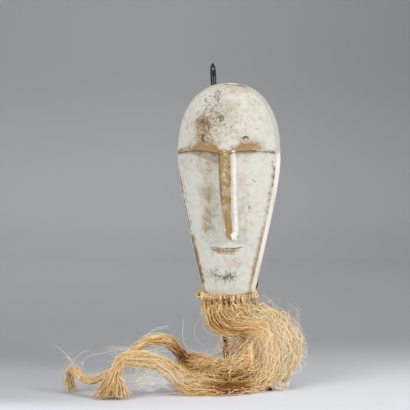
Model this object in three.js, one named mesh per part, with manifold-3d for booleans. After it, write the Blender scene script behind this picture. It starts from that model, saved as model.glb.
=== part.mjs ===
// A whitened wooden face mask with a fibre beard, on its black metal stand.
// Millimetres, +Z up, the face looks along -Y. The origin is under the middle of the foot plate.
import * as THREE from 'three';
import { mergeVertices } from 'three/addons/utils/BufferGeometryUtils.js';
import Module from 'manifold-3d';

const wasm = await Module();
wasm.setup();

// Driving dimensions of the mask
const maskHeight = 302;
const chinHeight = 123;
const rimPlane = 10;
const widestAt = 200;
const maskHalfWidth = 73.5;
const crownPower = 2.3;
const taperSlope = 0.235;
const taperEase = 44;
const chinRound = 12;
const chinPower = 3.2;
const wallDepth = 17;
const foreheadWallDepth = 19;
const wallDraft = 4.6;
const browHeight = 203;
const browDepth = 50;
const browLip = 1.6;
const browArch = 4.2;
const browArchStart = 4;
const browArchSpan = 66;
const browDip = 1.6;
const browDipWidth = 12;
const rimWidth = 9;
const hollowBackInset = 8;
const hollowOverrun = 3;
const noseTipHeight = 83;
const noseTipX = 9;
const noseTipRise = 9;
const noseTipRound = 12;
const noseLeftAtTip = 4;
const noseLeftAtBrow = -7.2;
const noseRightAtTip = 11;
const noseRightAtBrow = 9.2;
const noseTaperStart = 80;
const noseLeftTaper = 130;
const noseLeftTaperPower = 0.35;
const noseRightTaper = 65;
const noseLeftFlank = 4.6;
const noseRightFlank = 7.6;
const cheekPower = 2.6;
const foreheadPower = 2.4;
const foreheadFullness = 0.667;
const hollowPower = 2.8;
const mouthHeight = 72;
const mouthX = 1;
const mouthHalfWidth = 24;
const lipHalfHeight = 5.2;
const lipRelief = 2.6;
const slitDepth = 2.2;
const slitHalfHeight = 0.4;
const eyeHeight = 224.5;
const eyeLeftX = -26.5;
const eyeRightX = 28;
const eyeRingRadius = 4.6;
const eyeRingWire = 1.3;
const eyeDimpleRadius = 5;
const eyeDimpleDepth = 1.6;

// Depths down the middle of the face, as [height over the chin, depth from the rim plane]
const ridgeStations = [
  [70, 41], [86, 44.5], [95, 45.5], [120, 46], [160, 47], [190, 48.2], [browHeight, browDepth],
];
const cheekStations = [
  [wallDraft, 18], [12, 21], [25, 24], [45, 26], [72, 27.5], [100, 28.5], [130, 30.5], [165, 34],
  [browHeight, 39.5],
];
const hollowStations = [
  [rimWidth, 3], [16, 9], [30, 14], [60, 17], [100, 19], [150, 23], [190, 29], [225, 34], [250, 33],
  [275, 25], [287, 15], [293, 5],
];

// Driving dimensions of the stand
const footWidth = 132;
const footDepth = 84;
const footThickness = 6;
const rodRadius = 4;
const rodFootX = -2;
const rodTopX = -23.4;
const rodY = 14.4;
const rodShaftTop = 434;
const rodTipTop = 453.5;
const tipShoulder = 428;
const tipHalfWidth = 3.9;
const tipHalfPoint = 0.5;
const tipThickness = 3.2;
const eyeletRadius = 1.5;
const eyeletStretch = 1.2;
const eyeletShare = 0.68;
const cradleWire = 2.2;
const cradleX = 1.2;
const cradleHalfWidth = 37.6;
const cradleBottom = 131;
const cradleTop = 172;
const cradleBend = 10;
const cradleFlare = 2.05;
const hookHeight = 388;
const hookReach = 20;
const hookRise = 11;
const hookWire = 2;
const hookBend = 4;
const pieceGap = 0.35;

// Driving dimensions of the beard
const cordOffset = 2.2;
const cordY = -3.4;
const cordRadius = 1.2;
const cordReach = 43.5;
const cordEase = 5.5;
const knotCount = 11;
const knotRadius = 4.1;
const knotHalfLength = 3.6;
const knotWaist = 0.84;
const knotShoulder = 0.55;
const knotSpan = 40.5;
const thinnestLock = 3;
const lockSides = 6;
const heartRadius = 8.5;

const materials = {
  whitened_wood: new THREE.MeshStandardMaterial({ color: 0xdcd6c8, roughness: 0.85, metalness: 0 }),
  black_metal: new THREE.MeshStandardMaterial({ color: 0x121212, roughness: 0.28, metalness: 0.6 }),
  beard_fibre: new THREE.MeshStandardMaterial({ color: 0xcfa86c, roughness: 0.75, metalness: 0 }),
  knot_fibre: new THREE.MeshStandardMaterial({ color: 0xc39a60, roughness: 0.8, metalness: 0 }),
};

const clamp01 = (value) => Math.min(1, Math.max(0, value));
const smooth = (value) => clamp01(value) ** 2 * (3 - 2 * clamp01(value));
const mix = (a, b, share) => a + (b - a) * share;

// Reads a value off a short list of [place, value] stations, with straight runs between them
function station(list, place) {
  if (place <= list[0][0]) return list[0][1];
  for (let i = 1; i < list.length; i += 1) {
    const [from, low] = list[i - 1];
    const [to, high] = list[i];
    if (place <= to) return mix(low, high, (place - from) / (to - from));
  }
  return list[list.length - 1][1];
}

// Closed bodies: three.js geometry in, solid out, and back
function solidOf(geometry) {
  const bare = geometry.index ? geometry.toNonIndexed() : geometry.clone();
  bare.deleteAttribute('normal');
  bare.deleteAttribute('uv');
  const merged = mergeVertices(bare, 1e-4);
  const vertProperties = new Float32Array(merged.attributes.position.array);
  const triVerts = new Uint32Array(merged.index.array);
  const solid = new wasm.Manifold(new wasm.Mesh({ numProp: 3, vertProperties, triVerts }));
  if (solid.volume() > 0) return solid;
  return new wasm.Manifold(new wasm.Mesh({ numProp: 3, vertProperties, triVerts: triVerts.reverse() }));
}

function geometryOf(solid) {
  const mesh = solid.getMesh();
  const geometry = new THREE.BufferGeometry();
  geometry.setAttribute('position', new THREE.BufferAttribute(new Float32Array(mesh.vertProperties), 3));
  geometry.setIndex(new THREE.BufferAttribute(new Uint32Array(mesh.triVerts), 1));
  return geometry;
}

const joined = (solids) => solids.reduce((whole, next) => whole.add(next));

// The largest closed skin of a solid: inner pockets between locks and loose crumbs are dropped
function outerSkin(solid) {
  const { vertProperties, triVerts } = solid.getMesh();
  const parent = Int32Array.from({ length: vertProperties.length / 3 }, (_, id) => id);
  const rootOf = (id) => {
    let at = id;
    while (parent[at] !== at) at = parent[at];
    parent[id] = at;
    return at;
  };
  for (let i = 0; i < triVerts.length; i += 3) {
    parent[rootOf(triVerts[i])] = rootOf(triVerts[i + 1]);
    parent[rootOf(triVerts[i + 1])] = rootOf(triVerts[i + 2]);
  }
  const corner = (id) => new THREE.Vector3().fromArray(vertProperties, 3 * id);
  const skins = new Map();
  for (let i = 0; i < triVerts.length; i += 3) {
    const face = [triVerts[i], triVerts[i + 1], triVerts[i + 2]];
    const skin = skins.get(rootOf(face[0])) ?? { volume: 0, faces: [] };
    const [a, b, c] = face.map(corner);
    skin.volume += a.dot(b.cross(c)) / 6;
    skin.faces.push(...face);
    skins.set(rootOf(face[0]), skin);
  }
  const largest = [...skins.values()].reduce((best, next) => (next.volume > best.volume ? next : best));
  const kept = new Uint32Array(largest.faces);
  return new wasm.Manifold(new wasm.Mesh({ numProp: 3, vertProperties, triVerts: kept }));
}

// A geometry from points and triangles, turned so that its faces point out
function closedGeometry(points, triangles) {
  let volume = 0;
  for (const [a, b, c] of triangles) {
    volume += points[a].dot(new THREE.Vector3().crossVectors(points[b], points[c]));
  }
  const index = triangles.flatMap(([a, b, c]) => (volume < 0 ? [a, c, b] : [a, b, c]));
  const geometry = new THREE.BufferGeometry().setFromPoints(points);
  geometry.setIndex(index);
  return geometry;
}

// A round bar along a path
function wireAlong(path, radius, sides, steps) {
  const section = new THREE.Shape();
  for (let i = 0; i < sides; i += 1) {
    const angle = (2 * Math.PI * i) / sides;
    const x = radius * Math.cos(angle);
    const y = radius * Math.sin(angle);
    if (i === 0) section.moveTo(x, y);
    else section.lineTo(x, y);
  }
  section.closePath();
  return new THREE.ExtrudeGeometry(section, { steps, bevelEnabled: false, extrudePath: path });
}

// Outline of the mask: a squarish crown over long sides that narrow to a rounded chin
const crownHalfHeight = maskHeight - widestAt;

function sideWidth(v, inset) {
  return maskHalfWidth - inset - taperSlope * (Math.hypot(widestAt - v, taperEase) - taperEase);
}

function halfWidth(v, inset) {
  if (v >= widestAt) {
    const rise = clamp01((v - widestAt) / (crownHalfHeight - inset));
    return (maskHalfWidth - inset) * (1 - rise ** crownPower) ** (1 / crownPower);
  }
  const corner = inset + chinRound;
  if (v >= corner) return sideWidth(v, inset);
  const drop = clamp01((corner - v) / chinRound);
  return sideWidth(corner, inset) * (1 - drop ** chinPower) ** (1 / chinPower);
}

// The same share of the height on an outline with another inset
function sameShare(v, inset, otherInset) {
  if (v >= widestAt) {
    return widestAt + ((v - widestAt) * (crownHalfHeight - otherInset)) / (crownHalfHeight - inset);
  }
  return widestAt - ((widestAt - v) * (widestAt - otherInset)) / (widestAt - inset);
}

// The brow line dips at the root of the nose and arches over each cheek
function browLine(u) {
  const arch = browArch * Math.sin(Math.PI * clamp01((Math.abs(u) - browArchStart) / browArchSpan));
  return browHeight + arch - browDip * Math.exp(-((u / browDipWidth) ** 2));
}

const tipLine = (u) => noseTipHeight + noseTipRise * smooth(Math.abs(u - noseTipX) / noseTipRound);

// Edges of the nose ridge: it narrows and leans a little to the right as it comes down
function noseLeft(v) {
  const height = Math.max(v, noseTipHeight + noseTipRise) - noseTaperStart;
  return mix(noseLeftAtTip, noseLeftAtBrow, smooth(height / noseLeftTaper) ** noseLeftTaperPower);
}

const noseRight = (v) => mix(noseRightAtTip, noseRightAtBrow, smooth((v - noseTaperStart) / noseRightTaper));

function foreheadSurface(u, v, edgeWidth) {
  const rise = clamp01((v - browHeight) / (maskHeight - wallDraft - browHeight));
  const middle = mix(foreheadWallDepth, browDepth, (1 - rise ** foreheadPower) ** foreheadFullness);
  return mix(foreheadWallDepth, middle, 1 - (Math.abs(u) / edgeWidth) ** foreheadPower);
}

// The lips are a low swelling with the slit cut along its middle
function mouthRelief(u, v) {
  const alongLip = clamp01(1 - (Math.abs(u - mouthX) / mouthHalfWidth) ** 2);
  const acrossLip = clamp01(1 - ((v - mouthHeight) / lipHalfHeight) ** 2);
  const inSlit = Math.abs(v - mouthHeight) < slitHalfHeight ? smooth(alongLip * 3) : 0;
  return lipRelief * alongLip * acrossLip - (slitDepth + lipRelief) * inSlit;
}

function lowerSurface(u, v, edgeWidth) {
  const cheek = mix(wallDepth, station(cheekStations, v), 1 - (Math.abs(u) / edgeWidth) ** cheekPower);
  const outside = Math.max((noseLeft(v) - u) / noseLeftFlank, (u - noseRight(v)) / noseRightFlank, 0);
  const onNose = v > tipLine(u) - 0.5 ? clamp01(1 - 1.1 * outside) : 0;
  return cheek + (station(ridgeStations, v) - cheek) * onNose + mouthRelief(u, v);
}

function faceSurface(u, v) {
  const edgeWidth = Math.max(halfWidth(v, wallDraft), 0.01);
  return v >= browLine(u) - 0.2 ? foreheadSurface(u, v, edgeWidth) : lowerSurface(u, v, edgeWidth);
}

// Rows across the face: [height, share of the brow line's shape, share of the nose tip's shape]
const crownRow = (angle, inset) => [
  widestAt + (crownHalfHeight - inset) * Math.sin(THREE.MathUtils.degToRad(angle)), 0, 0,
];
const crownRows = [84, 77, 69, 60, 51, 42, 33, 24, 15, 8].map((angle) => crownRow(angle, wallDraft));
const browRows = [[browHeight, 1, 0], [browHeight - browLip, 1, 0], [195, 0.7, 0], [184, 0.3, 0]];
const cheekRows = [165, 145, 125, 108].map((height) => [height, 0, 0]);
const tipRows = [[noseTipHeight + 7, 0, 0.6], [noseTipHeight, 0, 1], [noseTipHeight - 2.4, 0, 0.9]];
const mouthRows = [5.2, 3, 0.9, 0, -0.9, -3, -5.2].map((rise) => [mouthHeight + rise, 0, 0]);
const chinRows = [57, 45, 33, 23, 16.6, 12, 9, 7, 5.6, 4.9].map((height) => [height, 0, 0]);
const faceRows = [...crownRows, ...browRows, ...cheekRows, ...tipRows, ...mouthRows, ...chinRows];
const sideShares = [0, 0.12, 0.27, 0.44, 0.62, 0.8, 0.93, 1];

// Columns of one row: side shares out from each foot of the nose, and the ridge between them
function rowColumns(v) {
  const edge = halfWidth(v, wallDraft);
  const spread = Math.min(1, edge / 40);
  const left = noseLeft(Math.min(v, browHeight)) * spread;
  const right = noseRight(Math.min(v, browHeight)) * spread;
  const leftSide = sideShares.map((share) => mix(left - noseLeftFlank * spread, -edge, share)).reverse();
  const rightSide = sideShares.map((share) => mix(right + noseRightFlank * spread, edge, share));
  return [...leftSide, left, (left + right) / 2, right, ...rightSide];
}

const maskPoint = (u, v, w) => new THREE.Vector3(u, rimPlane - w, chinHeight + v);

// A mask-shaped body: a front of rows and columns, a wall around it and a flat back
function maskBody({ rows, columnsOf, frontInset, backInset, frontDepth, backDepth }) {
  const points = [];
  const triangles = [];
  const put = (point) => points.push(point) - 1;
  const ends = { top: widestAt + crownHalfHeight, bottom: 0 };
  const frontTop = put(maskPoint(0, ends.top - frontInset, frontDepth(0, ends.top - frontInset)));
  const frontBottom = put(maskPoint(0, frontInset, frontDepth(0, frontInset)));
  const backTop = put(maskPoint(0, ends.top - backInset, backDepth));
  const backBottom = put(maskPoint(0, backInset, backDepth));
  const grid = rows.map(([height, brow, tip]) => columnsOf(height).map((u) => {
    const v = height + brow * (browLine(u) - browHeight) + tip * (tipLine(u) - noseTipHeight);
    const edge = halfWidth(v, frontInset);
    const x = Math.abs(Math.abs(u) - halfWidth(height, frontInset)) < 1e-6 ? Math.sign(u) * edge : u;
    return put(maskPoint(x, v, frontDepth(x, v)));
  }));
  const back = grid.map((row) => [row[0], row[row.length - 1]].map((id) => {
    const v = sameShare(points[id].z - chinHeight, frontInset, backInset);
    const u = Math.sign(points[id].x) * halfWidth(v, backInset);
    return put(maskPoint(u, v, backDepth));
  }));
  const last = grid[0].length - 1;
  const quad = (a, b, c, d) => triangles.push([a, b, c], [a, c, d]);
  for (let i = 0; i + 1 < grid.length; i += 1) {
    for (let j = 0; j < last; j += 1) {
      quad(grid[i][j], grid[i + 1][j], grid[i + 1][j + 1], grid[i][j + 1]);
    }
    quad(grid[i][0], back[i][0], back[i + 1][0], grid[i + 1][0]);
    quad(grid[i + 1][last], back[i + 1][1], back[i][1], grid[i][last]);
    quad(back[i][0], back[i][1], back[i + 1][1], back[i + 1][0]);
  }
  const foot = grid.length - 1;
  for (let j = 0; j < last; j += 1) {
    triangles.push([frontTop, grid[0][j], grid[0][j + 1]]);
    triangles.push([frontBottom, grid[foot][j + 1], grid[foot][j]]);
  }
  quad(frontTop, backTop, back[0][0], grid[0][0]);
  quad(frontTop, grid[0][last], back[0][1], backTop);
  quad(frontBottom, grid[foot][0], back[foot][0], backBottom);
  quad(frontBottom, backBottom, back[foot][1], grid[foot][last]);
  triangles.push([backTop, back[0][1], back[0][0]]);
  triangles.push([backBottom, back[foot][0], back[foot][1]]);
  return closedGeometry(points, triangles);
}

// The hollow behind the face, a smooth bowl that follows the front
function hollowSurface(u, v) {
  const edgeWidth = Math.max(halfWidth(v, rimWidth), 0.01);
  return mix(1, station(hollowStations, v), 1 - clamp01(Math.abs(u) / edgeWidth) ** hollowPower);
}

const hollowRows = [
  ...[78, 64, 50, 36, 22, 9].map((angle) => crownRow(angle, rimWidth)),
  ...[198, 175, 150, 125, 100, 75, 50, 34, 24, 17, 12].map((height) => [height, 0, 0]),
];
const hollowShares = [-1, -0.93, -0.8, -0.62, -0.4, -0.14, 0.14, 0.4, 0.62, 0.8, 0.93, 1];
const hollowColumns = (v) => hollowShares.map((share) => share * halfWidth(v, rimWidth));

// An eye: a raised ring around a shallow dimple, square to the forehead
function eyeFrame(x) {
  const step = 2;
  const here = maskPoint(x, eyeHeight, faceSurface(x, eyeHeight));
  const across = maskPoint(x + step, eyeHeight, faceSurface(x + step, eyeHeight)).sub(here);
  const up = maskPoint(x, eyeHeight + step, faceSurface(x, eyeHeight + step)).sub(here);
  const outward = across.clone().cross(up).normalize();
  const turn = new THREE.Quaternion().setFromUnitVectors(new THREE.Vector3(0, 1, 0), outward);
  return new THREE.Matrix4().compose(here, turn, new THREE.Vector3(1, 1, 1));
}

function eyeRing(x) {
  const profile = [];
  const corners = 6;
  for (let i = 0; i <= corners; i += 1) {
    const angle = (-2 * Math.PI * i) / corners;
    const [out, up] = [Math.cos(angle), Math.sin(angle)];
    profile.push(new THREE.Vector2(eyeRingRadius + eyeRingWire * out, eyeRingWire * up));
  }
  return new THREE.LatheGeometry(profile, 14).applyMatrix4(eyeFrame(x));
}

function eyeDimple(x) {
  const bowlRadius = (eyeDimpleRadius ** 2 + eyeDimpleDepth ** 2) / (2 * eyeDimpleDepth);
  const bowl = new THREE.SphereGeometry(bowlRadius, 24, 16);
  bowl.translate(0, bowlRadius - eyeDimpleDepth, 0);
  return bowl.applyMatrix4(eyeFrame(x));
}

function maskSolid() {
  const block = solidOf(maskBody({
    rows: faceRows,
    columnsOf: rowColumns,
    frontInset: wallDraft,
    backInset: 0,
    frontDepth: faceSurface,
    backDepth: 0,
  }));
  const hollow = solidOf(maskBody({
    rows: hollowRows,
    columnsOf: hollowColumns,
    frontInset: rimWidth,
    backInset: hollowBackInset,
    frontDepth: hollowSurface,
    backDepth: -hollowOverrun,
  }));
  const eyes = [eyeLeftX, eyeRightX];
  const dimpled = eyes.reduce((whole, x) => whole.subtract(solidOf(eyeDimple(x))), block);
  const ringed = eyes.reduce((whole, x) => whole.add(solidOf(eyeRing(x))), dimpled);
  return ringed.subtract(hollow);
}

// The stand's foot: a flat plate
function footSolid(grow) {
  const plate = new THREE.BoxGeometry(footWidth + 2 * grow, footDepth + 2 * grow, footThickness + 2 * grow);
  plate.translate(0, 0, footThickness / 2);
  return solidOf(plate);
}

const rodAt = (z) => new THREE.Vector3(mix(rodFootX, rodTopX, z / rodTipTop), rodY, z);

// The rod leans left on its way up and ends in a flattened point with an eye
function rodSolid(grow) {
  const shaft = wireAlong(new THREE.LineCurve3(rodAt(0), rodAt(rodShaftTop)), rodRadius + grow, 16, 1);
  const below = new THREE.BoxGeometry(footWidth, footDepth, 2 * footThickness);
  below.translate(0, 0, pieceGap);
  return solidOf(shaft).subtract(solidOf(below));
}

function tipSolid() {
  const length = rodTipTop - tipShoulder;
  const [archFoot, archPull] = [0.52 * length, 0.82 * length];
  const outline = new THREE.Shape();
  outline.moveTo(-tipHalfWidth, 0);
  outline.lineTo(tipHalfWidth, 0);
  outline.lineTo(tipHalfWidth, archFoot);
  outline.quadraticCurveTo(tipHalfWidth, archPull, tipHalfPoint, length);
  outline.lineTo(-tipHalfPoint, length);
  outline.quadraticCurveTo(-tipHalfWidth, archPull, -tipHalfWidth, archFoot);
  outline.closePath();
  const blade = new THREE.ExtrudeGeometry(outline, {
    depth: tipThickness,
    bevelEnabled: false,
    curveSegments: 6,
  });
  blade.translate(0, 0, -tipThickness / 2);
  blade.rotateX(Math.PI / 2);
  blade.rotateY(Math.atan2(rodTopX - rodFootX, rodTipTop));
  const base = rodAt(tipShoulder);
  blade.translate(base.x, base.y, base.z);
  return solidOf(blade);
}

// The eye goes right through the flattened tip and the end of the shaft
function eyeletCutter() {
  const place = rodAt(mix(tipShoulder, rodTipTop, eyeletShare));
  const cutter = new THREE.CylinderGeometry(eyeletRadius, eyeletRadius, 4 * rodRadius, 12);
  cutter.scale(1, 1, eyeletStretch);
  cutter.translate(place.x, place.y, place.z);
  return cutter;
}

// A path of straight runs with rounded bends
function bentPath(corners, bend) {
  const path = new THREE.CurvePath();
  let from = corners[0];
  for (let i = 1; i + 1 < corners.length; i += 1) {
    const corner = corners[i];
    const before = corner.clone().add(from.clone().sub(corner).setLength(bend));
    const after = corner.clone().add(corners[i + 1].clone().sub(corner).setLength(bend));
    path.add(new THREE.LineCurve3(from, before));
    path.add(new THREE.QuadraticBezierCurve3(before, corner, after));
    from = after;
  }
  path.add(new THREE.LineCurve3(from, corners[corners.length - 1]));
  return path;
}

// The cradle behind the chin: one wire bent to a U, with its ends up the back of the rim
function cradleSolid() {
  const y = rimPlane + pieceGap + cradleWire;
  const corners = [
    new THREE.Vector3(cradleX - cradleHalfWidth - cradleFlare, y, cradleTop),
    new THREE.Vector3(cradleX - cradleHalfWidth, y, cradleBottom),
    new THREE.Vector3(cradleX + cradleHalfWidth, y, cradleBottom),
    new THREE.Vector3(cradleX + cradleHalfWidth + cradleFlare, y, cradleTop),
  ];
  return solidOf(wireAlong(bentPath(corners, cradleBend), cradleWire, 8, 18));
}

// The hook on the rod that carries the mask by its hollow
function hookSolid() {
  const root = rodAt(hookHeight);
  const end = new THREE.Vector3(root.x, root.y - hookReach, hookHeight);
  const tip = new THREE.Vector3(root.x, root.y - hookReach, hookHeight + hookRise);
  return solidOf(wireAlong(bentPath([root, end, tip], hookBend), hookWire, 8, 8));
}

const standFrame = () => joined([rodSolid(0), tipSolid(), cradleSolid(), hookSolid()])
  .subtract(solidOf(eyeletCutter()));

// The heading cord under the chin, and the fibre knotted over it
function cordPoint(x) {
  const reach = sideWidth(chinRound, 0) + cordOffset + cordEase;
  const rise = 1 - (1 - Math.min(1, Math.abs(x) / reach) ** chinPower) ** (1 / chinPower);
  return new THREE.Vector3(x, cordY, chinHeight - cordOffset + chinRound * rise);
}

function cordPath() {
  const points = [];
  for (let i = 0; i <= 12; i += 1) points.push(cordPoint(mix(-cordReach, cordReach, i / 12)));
  return new THREE.CatmullRomCurve3(points);
}

// The room that the cord and its knots take from the locks under them
const knotRoom = () => solidOf(wireAlong(cordPath(), knotRadius + 2 * pieceGap, 12, 16));

function knotSolid(x) {
  const bore = cordRadius + 2 * pieceGap;
  const profile = [
    new THREE.Vector2(bore, -knotHalfLength),
    new THREE.Vector2(knotRadius, -knotHalfLength * knotShoulder),
    new THREE.Vector2(knotRadius * knotWaist, 0),
    new THREE.Vector2(knotRadius, knotHalfLength * knotShoulder),
    new THREE.Vector2(bore, knotHalfLength),
    new THREE.Vector2(bore, -knotHalfLength),
  ];
  const knot = new THREE.LatheGeometry(profile, 7);
  const along = cordPoint(x + 0.5).sub(cordPoint(x - 0.5)).normalize();
  knot.applyQuaternion(new THREE.Quaternion().setFromUnitVectors(new THREE.Vector3(0, 1, 0), along));
  const place = cordPoint(x);
  knot.translate(place.x, place.y, place.z);
  return solidOf(knot);
}

// The beard is one long hank. Each run of it is a sheet of locks between two edges,
// written as gates of [x, y, z of the first edge, x, y, z of the second edge].
const sweepGates = [
  [-37, -2, 116, 4, -4, 114], [-33, -6, 97, 8, -12, 107], [-23, -10, 79, 17, -18, 97],
  [3, -14, 70, 29, -22, 95], [30, -20, 71, 46, -24, 95], [46, -26, 65, 67, -26, 86],
  [49, -32, 48, 78, -28, 62], [46, -42, 27, 76, -34, 32], [36, -56, 10, 66, -44, 12],
  [20, -70, 8, 46, -62, 6],
];
const outerGates = [
  [9, -3, 114, 43, -2, 115], [23, -5, 106, 55, -3, 109], [41, -8, 97, 77, -6, 100],
  [59, -12, 83, 91, -8, 86], [69, -15, 65, 102, -10, 67], [71, -20, 47, 103, -12, 46],
  [68, -26, 29, 92, -18, 24], [59, -36, 15, 80, -26, 8], [43, -50, 9, 64, -40, 5],
];
const innerGates = [
  [-18, 1, 114, 24, 1, 114], [-8, -2, 95, 32, -4, 100], [16, -8, 79, 44, -10, 82],
  [24, -16, 66, 51, -18, 64], [14, -28, 49, 52, -30, 46], [0, -42, 36, 46, -42, 30],
  [-19, -58, 24, 22, -60, 17], [-33, -72, 17, 3, -76, 8],
];
const pileFrontGates = [
  [44, -52, 9, 54, -60, 1], [26, -64, 14, 35, -78, 1], [3, -74, 20, 11, -92, 1],
  [-20, -80, 25, -10, -98, 1], [-38, -88, 27, -35, -102, 1],
];
const pileBackGates = [
  [24, -40, 6, 15, -26, 34], [-2, -48, 6, -9, -35, 38], [-23, -62, 8, -29, -45, 46],
  [-39, -74, 10, -42, -55, 49],
];
const frontTailGates = [
  [-28, -92, 19, -37, -104, 0], [-39, -95, 29, -56, -101, 10], [-51, -99, 38, -62, -103, 19],
  [-64, -103, 47, -78, -106, 34], [-88, -110, 57, -88, -110, 38], [-106, -118, 60, -106, -118, 40],
  [-119, -124, 60, -117, -123, 44], [-130, -130, 54, -125, -129, 41], [-134, -135, 44, -129, -133, 32],
  [-150, -143, 20, -122, -140, 18], [-166, -142, 3, -114, -142, 3],
];
const backTailGates = [
  [-42, -56, 40, -44, -60, 26], [-48, -60, 50, -55, -62, 38], [-56, -66, 61, -62, -67, 50],
  [-61, -70, 70, -70, -73, 59], [-69, -75, 78, -77, -79, 64], [-81, -84, 80, -87, -86, 66],
  [-93, -92, 78, -94, -92, 65], [-104, -104, 74, -102, -101, 62], [-118, -117, 61, -114, -115, 55],
  [-129, -128, 54, -124, -126, 48],
];
const endCurlPath = [
  [-146, -137, 30, 5], [-157, -131, 25, 4.6], [-169, -125, 21, 4.2], [-179, -118, 22, 4],
  [-188, -112, 28, 4], [-199, -105, 32, 4.4], [-207, -100, 27, 5], [-209, -97, 16, 5.4],
  [-207, -95, 6, 4.6], [-203, -93, 1, 3.4],
];

// Two locks inside the hank keep it dense: one down its right side and one through the pile
const heartPaths = [
  [[30, -6, 97], [50, -8, 84], [59, -11, 66], [60, -12, 45], [57, -18, 26], [48, -30, 11]],
  [[26, -60, 9], [8, -68, 9], [-10, -75, 9], [-27, -81, 10]],
];

const curveThrough = (points) => new THREE.CatmullRomCurve3(points, false, 'centripetal');

// A lock: a rounded body along a path, with the radius of each station
function lockSolid(path, radii, sides, steps, grow) {
  const points = [];
  const triangles = [];
  const frames = path.computeFrenetFrames(steps, false);
  for (let i = 0; i <= steps; i += 1) {
    const along = path.getUtoTmapping(i / steps);
    const slot = along * (radii.length - 1);
    const low = Math.min(Math.floor(slot), radii.length - 2);
    const radius = mix(radii[low], radii[low + 1], slot - low) + grow;
    const middle = path.getPoint(along);
    for (let j = 0; j < sides; j += 1) {
      const angle = (2 * Math.PI * (j + 0.5 * (i % 2))) / sides;
      const out = frames.normals[i].clone().multiplyScalar(radius * Math.cos(angle));
      points.push(middle.clone().add(out).addScaledVector(frames.binormals[i], radius * Math.sin(angle)));
    }
  }
  for (let i = 0; i < steps; i += 1) {
    for (let j = 0; j < sides; j += 1) {
      const next = (j + 1) % sides;
      const [a, b] = [i * sides + j, i * sides + next];
      const [c, d] = [a + sides, b + sides];
      if (i % 2 === 0) triangles.push([a, b, c], [b, d, c]);
      else triangles.push([a, b, d], [a, d, c]);
    }
  }
  for (const ring of [0, steps]) {
    const hub = points.push(path.getPoint(ring / steps)) - 1;
    for (let j = 0; j < sides; j += 1) {
      const pair = [ring * sides + j, ring * sides + ((j + 1) % sides)];
      triangles.push(ring === 0 ? [hub, pair[1], pair[0]] : [hub, pair[0], pair[1]]);
    }
  }
  return solidOf(closedGeometry(points, triangles));
}

// A sheet of locks side by side between the two edges of its gates
function sheetLocks(gates, count, { steps, grow, fullness = 0.64 }) {
  const edges = gates.map((gate) => [
    new THREE.Vector3(...gate.slice(0, 3)),
    new THREE.Vector3(...gate.slice(3)),
  ]);
  const radii = edges.map(([from, to]) => Math.max(thinnestLock, (fullness * from.distanceTo(to)) / count));
  const locks = [];
  for (let k = 0; k < count; k += 1) {
    const share = (k + 0.5) / count;
    const points = edges.map(([from, to]) => from.clone().lerp(to, share));
    locks.push(lockSolid(curveThrough(points), radii, lockSides, steps, grow));
  }
  return locks;
}

function heartLocks(grow) {
  return heartPaths.map((places) => {
    const path = curveThrough(places.map((place) => new THREE.Vector3(...place)));
    return lockSolid(path, places.map(() => heartRadius), lockSides, places.length - 1, grow);
  });
}

// All that lies below the floor, which the locks rest on and don't reach into
function floorSolid() {
  const [reach, depth] = [800, 60];
  const slab = new THREE.BoxGeometry(reach, reach, depth);
  slab.translate(0, 0, -depth / 2);
  return solidOf(slab);
}

const fallSolid = (grow) => joined([
  ...sheetLocks(sweepGates, 3, { grow, steps: 11 }),
  ...sheetLocks(outerGates, 3, { grow, steps: 9 }),
  ...sheetLocks(innerGates, 3, { grow, steps: 9 }),
  ...sheetLocks(pileFrontGates, 2, { grow, steps: 5 }),
  ...sheetLocks(pileBackGates, 2, { grow, steps: 4 }),
  ...heartLocks(grow),
]);
const frontTailSolid = (grow) => joined(
  sheetLocks(frontTailGates, 3, { grow, steps: 13, fullness: 0.72 }),
);
const backTailSolid = (grow) => joined(sheetLocks(backTailGates, 2, { grow, steps: 11 }));

function endCurlSolid() {
  const path = curveThrough(endCurlPath.map(([x, y, z]) => new THREE.Vector3(x, y, z)));
  return lockSolid(path, endCurlPath.map((row) => row[3]), lockSides, 16, 0);
}

// Every sub-part of the object, named
const beardFall = outerSkin(fallSolid(0)
  .subtract(footSolid(pieceGap))
  .subtract(rodSolid(pieceGap))
  .subtract(floorSolid())
  .subtract(knotRoom()));
const beardTailFront = outerSkin(frontTailSolid(0).subtract(fallSolid(pieceGap)).subtract(floorSolid()));
const beardTailBack = outerSkin(backTailSolid(0)
  .subtract(fallSolid(pieceGap))
  .subtract(frontTailSolid(pieceGap)));
const beardTailEnd = outerSkin(endCurlSolid().subtract(frontTailSolid(pieceGap)).subtract(floorSolid()));

const part = new THREE.Group();

function addPiece(name, geometry, material) {
  const mesh = new THREE.Mesh(geometry, material.clone());
  mesh.name = name;
  part.add(mesh);
}

addPiece('mask', geometryOf(maskSolid()), materials.whitened_wood);
addPiece('stand_foot', geometryOf(footSolid(0)), materials.black_metal);
addPiece('stand_frame', geometryOf(standFrame()), materials.black_metal);
addPiece('heading_cord', wireAlong(cordPath(), cordRadius, 6, 16), materials.knot_fibre);
for (let i = 0; i < knotCount; i += 1) {
  const x = mix(-knotSpan, knotSpan, i / (knotCount - 1));
  addPiece(`tuft_knot_${String(i + 1).padStart(2, '0')}`, geometryOf(knotSolid(x)), materials.knot_fibre);
}
addPiece('beard_fall', geometryOf(beardFall), materials.beard_fibre);
addPiece('beard_tail_front', geometryOf(beardTailFront), materials.beard_fibre);
addPiece('beard_tail_back', geometryOf(beardTailBack), materials.beard_fibre);
addPiece('beard_tail_end', geometryOf(beardTailEnd), materials.beard_fibre);

export default part;
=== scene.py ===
"""A whitened wooden face mask with a fibre beard, on its black stand: the looks around the CAD frame."""
import math

import bmesh
import bpy
import numpy as np
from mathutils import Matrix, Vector, noise


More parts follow.
